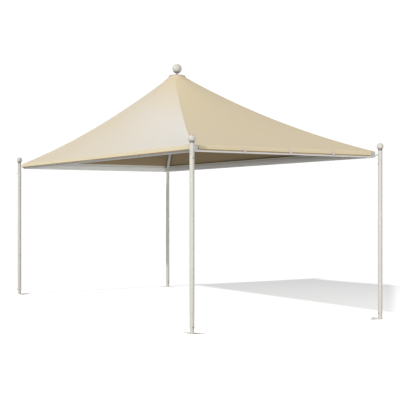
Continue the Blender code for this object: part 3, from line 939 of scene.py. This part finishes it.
def rafterPoint(t, angle, radius, signs):
    # a point on the tube: out from its centre line, square to its direction
    step = rafterLook["step"]
    along = unit(rafterLine(t + step, signs) - rafterLine(t - step, signs))
    flat = unit(np.stack((-along[..., 1], along[..., 0], np.zeros_like(t)), axis=-1))
    upward = np.cross(along, flat)
    upward *= np.sign(upward[..., 2:])
    angle = angle[..., None]
    return rafterLine(t, signs) + radius * (np.cos(angle) * flat + np.sin(angle) * upward)


def solveEnd(angle, radius, signs, low, high, outside):
    # halves the span again and again until each line along the tube meets the piece that it is cut against
    low, high = np.full_like(angle, low), np.full_like(angle, high)
    for _ in range(rafterLook["halvings"]):
        middle = (low + high) / 2
        beyond = outside(rafterPoint(middle, angle, radius, signs))
        low, high = np.where(beyond, middle, low), np.where(beyond, high, middle)
    return (low + high) / 2


def makeRafter(corner):
    # a curved tube under each hip, cut to the frame at its foot and to the hub at its head, and welded there
    look, signs = rafterLook, corners[corner]
    angle = roundTurn(look["sides"])
    inner = np.array((m["frameX"], m["frameY"])) - m["beamWide"] - look["gap"]
    inFrame = lambda points: (np.abs(points[..., :2]) > inner).any(axis=-1)
    clearOfHub = lambda points: np.hypot(points[..., 0], points[..., 1]) > m["hubR"] + look["gap"]
    share = np.linspace(0, 1, look["rows"])[:, None]
    skins = []
    for radius in (look["radius"], look["radius"] - look["wall"]):
        first = solveEnd(angle, radius, signs, *look["footT"], inFrame)
        last = solveEnd(angle, radius, signs, *look["headT"], clearOfHub)
        t = first * (1 - share) + last * share
        skins.append(rafterPoint(t, np.broadcast_to(angle, t.shape), radius, signs))
    parts = [patch(np.concatenate((skins[0], skins[1][::-1])), wrapRows=True, wrapColumns=True),
             *(weldLoop(skins[0][row], look["weld"]) for row in (0, -1))]
    solidPiece("hipTube_" + corner, parts, framePaint, ["hip_rafter_" + corner])


for cornerName in corners:
    makeRafter(cornerName)

crownLook = dict(hubTop=3.598, wall=0.008, deck=0.008, bossR=0.030, ease=0.0015, stemR=0.0068, stemSteps=32,
                 cove=((0.0235, 0.0060), (0.0190, 0.0110), (0.0125, 0.0145), (0.0085, 0.0170)), coveR=0.025,
                 washerR=0.020, washerThick=0.002, washerGap=0.0002, axisEase=0.00001, steps=96)


def makeCrown():
    # profiles turned round the middle of the plan: a hub with a deck and a boss, the ball with a cove under
    # it, the ball's stem and a washer on the cover
    look = crownLook
    hubR, bore, deckZ = m["hubR"], m["hubR"] - look["wall"], look["hubTop"] - look["deck"]
    section = ((0.0, m["bossTop"]), (look["bossR"], m["bossTop"]), (look["bossR"], look["hubTop"]),
               (hubR, look["hubTop"]), (hubR, m["hubBottom"]), (bore, m["hubBottom"]), (bore, deckZ),
               (0.0, deckZ))
    rounded = roundCorners(section, (look["axisEase"], *[look["ease"]] * 6, look["axisEase"]), 3)
    rounded[rounded[:, 0] < 10 * look["axisEase"], 0] = 0.0
    solidPiece("crownRing", [turned(rounded, steps=look["steps"])], framePaint, ["crown_hub"])
    arc = ballArc(m["apexR"], m["apexTop"], look["coveR"])
    cove = np.array(((0.0, arc[-1, 1]),)) + np.array(look["cove"]) * (1, -1)
    foot = cove[-1, 1]
    profile = np.vstack((arc, cove, (0.0, foot)))
    ball = solidPiece("apexBall", [turned(profile, steps=look["steps"], wrapRows=False)], ballPaint,
                      ["apex_finial"])
    # painted shade under the apex ball
    paintBallShade(ball.data, m["apexR"], m["apexTop"])
    stem = ((0.0, foot), (look["stemR"], foot), (look["stemR"], m["stemBottom"]), (0.0, m["stemBottom"]))
    solidPiece("apexStem", [turned(stem, steps=look["stemSteps"], wrapRows=False)], footPaint)
    ring = washer(look["stemR"] + look["washerGap"], look["washerR"], look["washerThick"])
    solidPiece("apexWasher", [aimed(ring, upright, upright * m["capTop"])], zincPlate)


makeCrown()
print("eave frame, hip tubes and crown made")


# Canopy

# three keys here set the painted shade on the drawn wedge of each end's hem
canopyLook = dict(columns=62, roofRows=64, hemRows=10, foldRows=6, foldDrop=0.006, slack=0.0005, foldT=0.0035,
                  crowding=0.35, stop=(0.022, 0.088), sag=(0.0025, 0.005), thick=0.0011,
                  nearHip=(0.0, 0.007, 0.0145, 0.022, 0.031, 0.042, 0.056, 0.072, 0.088, 0.115),
                  soiled=0.22, soiledReach=(0.165, 0.09), soiledSoft=0.03,
                  crownTuck=((0.1300, 3.5935), (0.1180, 3.5990), (0.1040, 3.6003), (0.0700, 3.6003),
                             (0.0340, 3.6003)))
waveLook = dict(fold=0.0045, folds=9, phase=(1.3, 2.1), foldReach=0.22, foldShift=0.02, foldStart=0.06,
                drawn=0.009, drawnReach=0.127, drawnSoft=0.35, ripple=0.0012, rippleCount=17, rippleStart=0.1)


def canopyRows(look):
    # t of each roof row, closer together at the eave and the crown
    share = np.linspace(0, 1, look["roofRows"])
    eased = share - look["crowding"] * np.sin(2 * math.pi * share) / (2 * math.pi)
    return look["foldT"] + (1 - look["foldT"]) * eased


def panelU(look, side):
    # places across a panel, closer together towards the hips, starting on one hip and stopping short of the
    # next
    near = np.array(look["nearHip"]) / halfSpan(side)
    share = np.linspace(-1, 1, look["columns"])
    middle = (np.sin(share * math.pi / 2) * look["crowding"]
              + share * (1 - look["crowding"])) * (1 - near[-1])
    return np.concatenate((near[:-1] - 1, middle, 1 - near[-2:0:-1]))


def hemStop(side):
    # how far from a corner each hem stops
    return np.where(side % 2 == 0, *canopyLook["stop"])


def hemLow(side):
    # the height of each hem's lower edge
    return m["hemBottom"] - np.where(side % 2 == 0, *canopyLook["sag"])


def clothWave(side, u, t, drop):
    # how far the cloth stands off its smooth form, in metres: slack folds that fan from each corner and die
    # away up the panel, a wedge drawn out over one strap of each end, and a slight ripple of the hem between
    # hooks; drop is 0 at the fold, 1 at the hem's edge
    look = waveLook
    fromCorner = halfSpan(side) * (1 - np.abs(u))
    up = halfSpan(side + 1) * t
    far = np.hypot(fromCorner, up)
    angle = np.arctan2(up, fromCorner + look["foldShift"])
    near = np.exp(-far / look["foldReach"]) * limit(far / look["foldStart"])
    sway = np.sin(look["folds"] * angle + look["phase"][0] + look["phase"][1] * side) * np.cos(angle)
    past = (fromCorner - hemStop(side)) / look["drawnReach"]
    share = limit((drop - np.clip(past, 0, None)) / look["drawnSoft"])
    drawn = np.where((side % 2 == 1) & (u < 0), look["drawn"] * limit(1 - past) * smooth(share), 0.0)
    ripple = drop * np.sin(fromCorner * look["rippleCount"] + side) * limit(fromCorner / look["rippleStart"])
    return look["fold"] * near * sway + drawn + look["ripple"] * ripple


def canopyGrid(look):
    # rows from the hem's edge up: a straight hem, a fold that is a parabola, the roof, and the tuck under
    # the cover
    spans = [panelU(look, index) for index in range(4)]
    side, u = np.repeat(np.arange(4), len(spans[0])), np.concatenate(spans)
    t = canopyRows(look)[:, None]
    roofPart, eave = roofPoint(side, u, t), roofPoint(side, u, 0 * u)
    top, bottom = eave - upright * look["foldDrop"], eave.copy()
    bottom[:, 2] = hemLow(side)
    rise, bend = (np.linspace(0, 1, look[key], endpoint=False)[:, None, None]
                  for key in ("hemRows", "foldRows"))
    fold = (1 - bend) ** 2 * top + 2 * bend * (1 - bend) * eave + bend ** 2 * roofPart[0]
    tuck = crownRings(side, u, look["crownTuck"])
    points = np.concatenate((bottom * (1 - rise) + top * rise, fold, roofPart, tuck))
    rowT = np.concatenate((np.zeros(len(rise) + len(fold)), t[:, 0], np.ones(len(tuck))))[:, None]
    drop = np.zeros_like(rowT)
    drop[:len(rise)] = 1 - rise[:, 0]
    wave = clothWave(side, u, rowT, drop)
    wave[-len(tuck):] = 0
    points += wave[..., None] * gridNormals(points)
    return points, side, u, rowT, drop


def makeCanopy():
    # one sheet from hem to crown: hem, fold, four panels and the part clamped under the crown cover
    look = canopyLook
    points, side, u, rowT, drop = canopyGrid(look)
    rows, columns = points.shape[:2]
    faces = gridFaces(rows, columns, wrapColumns=True).reshape(rows - 1, columns, 4)
    fromCorner = halfSpan(side) * (1 - np.abs(u))
    keep = np.ones((rows - 1, columns), bool)
    reach = np.minimum(fromCorner, np.roll(fromCorner, -1))
    keep[:look["hemRows"] + 1] = reach >= hemStop(side) - look["slack"]
    mesh = sheetMesh("canopySheet", points, faces[keep])
    setClothUv(mesh, points, side)
    # the cloth's colour carries painted highlight and painted shade, with the painted shade of each end hem's
    # drawn wedge
    paintDyeAndLight(mesh, clothDyeAndLight(side, u, rowT) * hemWedgeShade(side, u, drop))
    reworked(mesh, lambda work: bmesh.ops.delete(
        work, geom=[point for point in work.verts if not point.link_faces], context="VERTS"))
    sheet = addPiece("canopySheet", mesh, canopyCloth, ["canopy_" + name for name in sides])
    addWall(sheet, look["thick"], canopyLining).use_even_offset = True
    return sheet


def clothDyeAndLight(side, u, t):
    # sand cloth; on the long panels a painted highlight of their sunlit faces pales it towards cream, most
    # towards their right end, least under the crown, and a little more along their left hip, and painted
    # shade darkens their middle and their upper part; the ends grow a little warmer that way, and the doubled
    # hem is yellower, on the ends also a little paler than the roof, painted light on the upright hem
    look = clothLook
    sand, cream = np.array(look["sand"]), np.array(look["cream"])
    u, onLong = np.clip(u, -1, 1), (side % 2 == 0)[..., None]
    fade = look["fade"][0] + look["fade"][1] * u + look["fade"][2] * u * u
    fromHip = (m["clothX"] * (1 - t) + roof["crownR"] * math.pi / 4 * t) * (1 - np.abs(u))
    nearHip = limit((look["hipReach"] - fromHip) / look["hipSoft"]) * (u < 0)
    nearHip = nearHip * limit(t / look["hipStart"][0] - look["hipStart"][1])
    fade = (np.minimum(fade, look["topFade"][0] - look["topFade"][1] * t)
            + look["hipGain"] * nearHip)[..., None]
    shade = (1 - look["bulgeShade"] * (1 - u * u) - look["topShade"] * t)[..., None]
    warm = sand * (1 - np.array(look["warmth"]) * u[..., None])
    roofTone = np.where(onLong, (sand + fade * (cream - sand)) * shade, warm)
    hem = limit(1 - t / look["hemT"])[..., None]
    return roofTone * (1 - hem) + np.where(onLong, look["hem"], look["endHem"]) * hem


def hemWedgeShade(side, u, drop):
    # painted shade on the drawn wedge of each end's hem: how much of its brightness it keeps; the wedge
    # widens downwards
    look = canopyLook
    edge = look["soiledReach"][0] + look["soiledReach"][1] * drop - halfSpan(side) * (1 - np.abs(u))
    inWedge = limit(edge / look["soiledSoft"] + 0.5) * (drop > 0) * (side % 2 == 1) * (u < 0)
    return (1 - look["soiled"] * inWedge)[..., None]


def setClothUv(mesh, points, side):
    # U is the distance along the eave and V the distance up the slope, in metres, each panel on its own grain
    columns, turn = points.shape[1], side * math.pi / 2
    steps = np.linalg.norm(np.diff(points, axis=0), axis=-1)[:, side * (columns // 4) + columns // 8]
    upSlope = np.vstack((np.zeros(columns), np.cumsum(steps, axis=0)))
    along, nextAlong = (place[..., 0] * np.cos(turn) + place[..., 1] * np.sin(turn)
                        for place in (points, np.roll(points, -1, axis=1)))
    row, column = np.divmod(cornerPoints(mesh), columns)
    first = np.repeat(column.reshape(-1, 4)[:, 0], 4)
    across = np.where(column == first, along[row, first], nextAlong[row, first])
    writeUv(mesh, "clothMetres", np.column_stack((across, upSlope[row, first])))


canopySheet = makeCanopy()

# the first tone key sets the painted highlight along each hip
seamLook = dict(wideBefore=0.034, wideAfter=0.012, rows=90, columns=6, lift=0.0009, thick=0.0008,
                startT=0.004, endT=0.985, longTone=(0.05, 0.08, 0.13), endTone=(-0.10, -0.10, -0.22),
                toneEnd=0.6, dyeShift=0.01)


def holdBorders(values, near=0.08):
    # one more line close beside each border of a grid, so that smooth shading doesn't round the whole band
    for axis in (0, 1):
        values = np.moveaxis(values, axis, 0)
        first = values[:1] * (1 - near) + values[1:2] * near
        last = values[-1:] * (1 - near) + values[-2:-1] * near
        values = np.moveaxis(np.concatenate((values[:1], first, values[1:-1], last, values[-1:])), 0, axis)
    return values


def stripPiece(name, points, along, across, material, dye=None):
    # a thin closed band over a grid of points; U runs along it and V across it, in metres
    along, across = (holdBorders(np.broadcast_to(values, points.shape[:2])).ravel()
                     for values in (along, across))
    points = holdBorders(points)
    mesh = sheetMesh(name, points, gridFaces(*points.shape[:2]))
    writeUv(mesh, "bandMetres", np.column_stack((along, across))[cornerPoints(mesh)])
    if dye is not None:
        paintDyeAndLight(mesh, holdBorders(dye))
    piece = addPiece(name, mesh, material)
    addWall(piece, seamLook["thick"])
    return piece


def makeHipSeam(index):
    # tape folded over the hip between one panel and the next, wider on the panel before it; where it lies on
    # a long panel it is paler, a painted highlight along the hip that fades up the slope, and its wide part
    # on an end is browner
    look, following = seamLook, (index + 1) % 4
    t = np.linspace(look["startT"], look["endT"], look["rows"])[:, None]
    before, after, hip = look["wideBefore"], look["wideAfter"], look["columns"] - 1
    reach = np.concatenate((np.linspace(-before, 0, hip + 1)[:-1], np.linspace(0, after, hip + 1)))[None, :]
    isBefore = reach < 0
    side = np.where(isBefore, index, following)
    span = halfSpan(side) * (1 - t) + roof["crownR"] * math.pi / 4 * t
    u = np.where(isBefore, 1 - np.abs(reach) / span, np.abs(reach) / span - 1)
    points = roofPoint(side, u, t)
    points += clothWave(side, u, t, 0 * u)[..., None] * gridNormals(points)
    normal = gridNormals(points)
    points += look["lift"] * normal * np.sign(normal[..., 2:])
    steps = np.linalg.norm(np.diff(points[:, hip], axis=0), axis=-1)
    along = np.concatenate(((0,), np.cumsum(steps)))[:, None]
    # painted highlight on the long panels' part of the tape
    paler = np.array(look["longTone"]) * limit(1 - t / look["toneEnd"])[..., None]
    browner = np.array(look["endTone"]) * isBefore[..., None]
    dye = clothDyeAndLight(side, u, t + look["dyeShift"]) * (1 + np.where((side % 2 == 0)[..., None], paler, browner))
    if np.cross(points[1, hip - 1] - points[0, hip - 1], points[0, hip] - points[0, hip - 1])[2] > 0:
        points, reach, dye = points[:, ::-1], reach[:, ::-1], dye[:, ::-1]
    name = "hipSeam_%s_%s" % (sides[index], sides[following])
    return stripPiece(name, points, along, reach - (after - before) / 2, hipTape, dye)


hemLook = dict(low=0.0015, high=0.036, lift=0.0007, rows=5, step=0.02, inset=0.006, edgeWide=0.0042,
               edgeTall=(0.0075, 0.0090), edgeDip=0.0015, edgeSides=12, edgeStep=0.03, edgeInset=0.004)


def hemRows(index, inset, step, heights, drop, lift=0.0):
    # rows of points on the hem's outer face, at heights over its lower edge, riding the cloth's wave
    half = halfSpan(index)
    stop = (hemStop(index) + inset) / half
    u = np.linspace(stop - 1, 1 - stop, int(2 * half / step))
    side = np.full(len(u), index)
    points = np.repeat(roofPoint(side, u, 0 * u)[None], len(heights), axis=0)
    points[..., 2] = hemLow(index) + heights[:, None]
    wave = clothWave(side, u, np.zeros((len(heights), 1)), drop[:, None])
    return side, u, points + (lift + wave)[..., None] * sideAxes(index)[1]


def makeHemTape(index):
    # the turned up edge of the hem, a second layer sewn on its outer face
    look = hemLook
    heights = np.linspace(look["low"], look["high"], look["rows"])
    drop = 1 - heights / (roof["eaveZ"] - canopyLook["foldDrop"] - hemLow(index))
    side, u, points = hemRows(index, look["inset"], look["step"], heights, drop, look["lift"])
    drop = drop[:, None]
    # the hem's colour, on the ends a little paler as painted light, with the painted shade of the drawn wedge
    dye = clothDyeAndLight(side, u, 0 * drop) * hemWedgeShade(side, u, drop)
    along, across = (u * halfSpan(index))[None, :], (heights - heights.mean())[:, None]
    return stripPiece("hemTape_" + sides[index], points, along, across, hemTape, dye)


def makeHemEdge(index):
    # the rolled lower edge of the hem, darker than the cloth above it, its dark tone painted shade under the
    # hem:
    # an ellipse carried along it, drawn in at both ends
    look = hemLook
    tall = look["edgeTall"][index % 2]
    line = hemRows(index, look["edgeInset"], look["edgeStep"], np.array((tall - look["edgeDip"],)),
                   np.ones(1))[2][0]
    along, outward = sideAxes(index)
    angle, order = roundTurn(look["edgeSides"]), np.arange(len(line))
    ring = (look["edgeWide"] * np.cos(angle))[:, None] * outward + (tall * np.sin(angle))[:, None] * upright
    ends = np.sin(limit((np.minimum(order, order[::-1]) + 1) / 2) * math.pi / 2)
    parts = [patch(line[:, None] + ends[:, None, None] * ring, wrapColumns=True, caps=True)]
    piece = solidPiece("hemEdge_" + sides[index], parts, hemEdge, smoothAngle=60)
    place = pointPlaces(piece.data)[cornerPoints(piece.data)]
    writeUv(piece.data, "bandMetres", np.column_stack((place @ along, place[:, 2])))
    return piece


bandLook = dict(setBack=0.002, tall=0.026, riseT=0.035, clothGap=0.0026, seat=0.0008, lowGap=0.0025,
                rafterGap=0.0355, step=0.02, rows=4, rounds=5)


def clothHeight(index, along, away):
    # the height of one panel over points of the plan; a few rounds settle their u and t
    half, out = halfSpan(index), halfSpan(index + 1)
    u = np.clip(along / half, -1, 1)
    for _ in range(bandLook["rounds"]):
        t = (out - away) / (out - roof["crownR"] * np.cos(u * math.pi / 4))
        u = np.clip((along - roof["crownR"] * np.sin(u * math.pi / 4) * t) / (half * (1 - t)), -1, 1)
    return roofPoint(np.full(len(u), index), u, t)[:, 2]


def makeEaveBand(index):
    # a pale facing inside each eave, on the beam's top: upright on the long sides, and leaning in under the
    # cloth on the ends, where it stops short of the hip tubes
    look = bandLook
    innerX, innerY = (m[key] - m["beamWide"] + look["setBack"] for key in ("frameX", "frameY"))
    isLong = index % 2 == 0
    share = np.linspace(-1, 1, int(2 * (innerX if isLong else innerY) / look["step"]))
    if isLong:
        lowAlong = highAlong = share * innerX
        lowAway = highAway = np.full(len(share), innerY)
        over = np.minimum(clothHeight(index, highAlong, highAway),
                          clothHeight(1, highAway, np.abs(highAlong)))
        over = np.minimum(over, m["beamTop"] + look["tall"])
    else:
        lowAlong, highAlong = share * (innerY - look["lowGap"]), share * (innerY - look["rafterGap"])
        lowAway = np.full(len(share), innerX)
        highAway = np.full(len(share), m["clothX"] * (1 - look["riseT"]) + roof["crownR"] * look["riseT"])
        over = clothHeight(index, highAlong, highAway)
    axes = np.stack(sideAxes(index))
    low, high = np.column_stack((lowAlong, lowAway)) @ axes, np.column_stack((highAlong, highAway)) @ axes
    low[:, 2], high[:, 2] = m["beamTop"] + look["seat"], over - look["clothGap"]
    rise = np.linspace(0, 1, look["rows"])[:, None, None]
    widths = rise[:, :, 0] * np.linalg.norm(high - low, axis=1).mean()
    return stripPiece("eaveBand_" + sides[index], low * (1 - rise) + high * rise, lowAlong[None, :], widths,
                      eaveBand)


coverLook = dict(skirtT=0.972, skirtRows=7, lift=0.0026, thick=0.0016, columns=32, toned=(0.93, 0.93, 1.05),
                 shoulder=((0.1440, 3.5885), (0.1400, 3.5955), (0.1345, 3.6030), (0.1280, 3.6090),
                           (0.1200, 3.6138), (0.1120, 3.6163), (0.1040, 3.6175)),
                 top=((0.0760, 3.6190), (0.0440, 3.6225), (0.0220, 3.6273), (0.0092, 3.6273)))
weltLook = dict(radius=0.0072, place=(0.1200, 3.6145), sides=10, steps=96, tone=(0.245, 0.208, 0.138),
                gain=(0.57, 0.97))


def makeCrownCover():
    # a cloth cover over the crown: a skirt that lies on the four panels, a rounded shoulder and a flat top;
    # rows run from the skirt's edge up and in to the finial's stem
    look = coverLook
    u = np.tile(np.linspace(-1, 1, look["columns"], endpoint=False), 4)
    side = np.repeat(np.arange(4), look["columns"])
    t = np.linspace(look["skirtT"], 1.0, look["skirtRows"])[:, None]
    skirt = roofPoint(side, u, t)
    skirt += look["lift"] * gridNormals(skirt)
    upper = crownRings(side, u, (*look["shoulder"], *look["top"]))
    points = np.concatenate((skirt, upper))
    mesh = sheetMesh("crownCover", points, gridFaces(*points.shape[:2], wrapColumns=True))
    writeUv(mesh, "coverMetres", points.reshape(-1, 3)[cornerPoints(mesh)][:, :2])
    # the cover takes the cloth's dye with its painted highlight and painted shade
    dye = clothDyeAndLight(side, u, np.vstack((t, np.ones((len(upper), 1)))))
    dye[len(skirt):] *= look["toned"]
    paintDyeAndLight(mesh, dye)
    addWall(addPiece("crownCover", mesh, canopyCloth, ["crown_cap"]), look["thick"],
            canopyLining)


def makeCrownWelt():
    # a cord sewn round the cover's shoulder: a small circle turned round the crown, paler towards one side,
    # painted light against the shade on that side
    look = weltLook
    cord = turned(circle(look["radius"], look["place"], look["sides"]), steps=look["steps"])
    mesh = buildMesh("crownWelt", [cord], 60)
    # painted light: the cord pales towards one side
    gain = limit(pointPlaces(mesh)[:, :2] @ look["gain"] / look["place"][0]) ** 2
    paintDyeAndLight(mesh, (1 + gain)[:, None] * np.array(look["tone"]))
    addPiece("crownWelt", mesh, canopyCloth)


makeCrownCover()
makeCrownWelt()
seams, hems, edges, bands = ([make(index) for index in range(4)]
                             for make in (makeHipSeam, makeHemTape, makeHemEdge, makeEaveBand))
print("canopy, seams and hems made")


# Hem hooks

hookLook = dict(wide=0.031, neck=0.016, lean=0.030, thick=0.0025, ease=0.3, knee=0.002, kneeGap=0.0018,
                neckZ=0.036, neckTall=0.009, eyeInner=0.0050, eyeOuter=0.0092, eyeThick=0.0016, eyeDrop=0.014,
                screwRise=0.0065, seat=0.0003, spacing=0.0025, domeEnd=0.04)
hookScrew = dict(hole=0.0030, washerR=0.0056, washerThick=0.0010, headR=0.0048, headHigh=0.0032,
                 headRim=0.0010)


def makeHook(index, number):
    # a bent strip: flat on the beam, out under the hem, then up its face to an eyelet, leaning a little
    look = hookLook
    name = "%s_%d" % (sides[index], number)
    low, high = (np.array(point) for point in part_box("hem_hook_" + name))
    along, outward = sideAxes(index)
    bottom, top, thick = low[2], high[2], look["thick"]
    face, front = sorted((low @ outward, high @ outward))
    front -= thick
    corner = along * ((low + high) / 2 @ along)
    knee = hemLow(index) - look["kneeGap"] - thick
    leanAt = lambda height: look["lean"] * (0.5 - (height - bottom) / (top - bottom))
    line = roundPath(((face, bottom), (face, knee), (front, knee), (front, top)), look["knee"])
    parts = [bentStrip(line, look, corner, outward, along, leanAt)]
    eye, screw = ((front, top - look["eyeDrop"]), (face, bottom + look["screwRise"]))
    for reach, height in (eye, screw):
        place = corner + outward * (reach + thick - look["seat"]) + along * leanAt(height) + upright * height
        parts += screwParts(place, outward, hookScrew)
        if reach == front:
            parts.append(aimed(washer(look["eyeInner"], look["eyeOuter"], look["eyeThick"]), outward, place))
    solidPiece("hemClip_" + name, parts, zincPlate, ["hem_hook_" + name])


def roundPath(points, radius, steps=4):
    # an open line with its inner corners rounded
    rounded = roundCorners(points, radius, steps).reshape(len(points), steps + 1, 2)
    return np.vstack((points[:1], rounded[1:-1].reshape(-1, 2), points[-1:]))


def bentStrip(line, look, corner, outward, along, leanAt):
    # a thin rounded slab carried along the bent line, wide at its foot, narrow at its neck, round at its top,
    # and leaning aside as it rises
    steps = np.concatenate(((0,), np.cumsum(np.linalg.norm(np.diff(line, axis=0), axis=1))))
    even = np.linspace(0, steps[-1], int(steps[-1] / look["spacing"]))
    away, height = (np.interp(even, steps, line[:, axis])[:, None] for axis in (0, 1))
    step = unit(np.gradient(np.hstack((away, height)), axis=0))
    push = step[:, 1:] * outward - step[:, :1] * upright
    half, toTop = look["wide"] / 2, even[-1] - even
    dip = (half - look["neck"] / 2) * np.exp(-((toTop - look["neckZ"]) / look["neckTall"]) ** 2)
    dome = np.sqrt(np.clip(1 - limit(1 - toTop / half) ** 2, look["domeEnd"], 1))
    section = roundCorners(rectangle(1, -1, 0, look["thick"]), look["thick"] * look["ease"], 2)
    centre = corner + away * outward + leanAt(height) * along + height * upright
    wide = section[:, :1] * along * ((half - dip) * dome)[:, None, None]
    return patch(centre[:, None] + wide + section[:, 1:] * push[:, None], wrapColumns=True, caps=True)


for sideIndex in range(4):
    for hookNumber in (1, 2, 3):
        makeHook(sideIndex, hookNumber)
print("hem clips made")

seams + hems + edges + bands


# Floor, light and camera

floorLook = dict(reach=90.0, bounce=0.72, seen=0.586, glow=0.413, glowStart=5.07, glowRise=0.0355,
                 near=(0.8603, -0.5098, 0.0), aside=(0.6719, 0.7406, 0.0), fade=(3.245, 3.473), fadeGlow=0.24)


def makeFloor():
    # white paper: its own faint glow, which only the camera sees, keeps shadows as pale as in a cut-out,
    # paler towards the camera and gone beyond the right of the picture
    look = floorLook
    reach = look["reach"]
    mesh = bpy.data.meshes.new("studioFloor")
    mesh.from_pydata([(-reach, -reach, 0), (reach, -reach, 0), (reach, reach, 0), (-reach, reach, 0)], [],
                     [(0, 1, 2, 3)])
    material, tree, shader = newMaterial("studioWhite", Roughness=0.9, Specular_IOR_Level=0.0,
                                         Emission_Strength=1.0)
    seen = addNode(tree, "LightPath")["Is Camera Ray"]
    place = addNode(tree, "TexCoord")["Object"]
    nearer, aside = (addNode(tree, "VectorMath", {0: place, 1: look[way]}, operation="DOT_PRODUCT")["Value"]
                     for way in ("near", "aside"))
    fade = addNode(tree, "MapRange", {"Value": aside, "From Min": look["fade"][0],
                                      "From Max": look["fade"][1], "To Max": look["fadeGlow"]},
                   interpolation_type="SMOOTHSTEP")
    glow = mathNode("MAXIMUM", nearer + look["glowStart"], 0.0) * look["glowRise"] + look["glow"] + fade
    feed(shader["Emission Color"], glow * seen)
    feed(shader["Base Color"], mixColor(seen, (*[look["bounce"]] * 3, 1), (*[look["seen"]] * 3, 1)))
    mesh.materials.append(material)
    addObject("studioFloor", mesh)


lightLook = dict(sunToward=(0.053, -0.850, 0.524), sunPower=3.5, sunSize=0.03, sky=0.43, backdrop=1.05,
                 panelPlace=(50.0, -8.0, 0.87), panelSize=(26.0, 1.7), panelPower=17000.0)


def addLight(name, kind, toward):
    # a light turned so that it shines from the direction toward
    light = addObject(name, bpy.data.lights.new(name, kind))
    toward = unit(np.array(toward))
    light.rotation_euler = (math.acos(toward[2]), 0.0, math.atan2(toward[1], toward[0]) + math.pi / 2)
    return light


def makeLight():
    look = lightLook
    sun = addLight("sun", "SUN", look["sunToward"])
    sun.data.energy, sun.data.angle = look["sunPower"], look["sunSize"]
    panel = addLight("lowPanel", "AREA", (*look["panelPlace"][:2], 0.0))
    panel.data.shape, panel.data.energy = "RECTANGLE", look["panelPower"]
    panel.data.size, panel.data.size_y = look["panelSize"]
    panel.location = look["panelPlace"]
    panel.visible_camera = False
    world = bpy.data.worlds.new("softStudio")
    bpy.context.scene.world = world
    world.use_nodes = True
    tree = world.node_tree
    background = tree.nodes["Background"].inputs
    seen = addNode(tree, "LightPath")["Is Camera Ray"]
    strength = addNode(tree, "MapRange", {"Value": seen, "To Min": look["sky"], "To Max": look["backdrop"]})
    feed(background["Strength"], strength)
    feed(background["Color"], (1, 1, 1, 1))
    bpy.context.scene.view_settings.view_transform = "Standard"


cameraLook = dict(place=(12.857, -7.198, 1.544), yaw=149.35, lens=84.04, sensor=36.0, shiftY=0.01815,
                  reach=400.0)


def makeCamera():
    look = cameraLook
    camera = addObject("photoCamera", bpy.data.cameras.new("photoCamera"))
    camera.location = look["place"]
    camera.rotation_euler = (math.radians(90), 0.0, math.radians(look["yaw"] - 90))
    camera.data.lens, camera.data.sensor_width = look["lens"], look["sensor"]
    camera.data.shift_y, camera.data.clip_end = look["shiftY"], look["reach"]
    bpy.context.scene.camera = camera


makeFloor()
makeLight()
makeCamera()
print("floor, light and camera made")

bpy.context.view_layer.update()
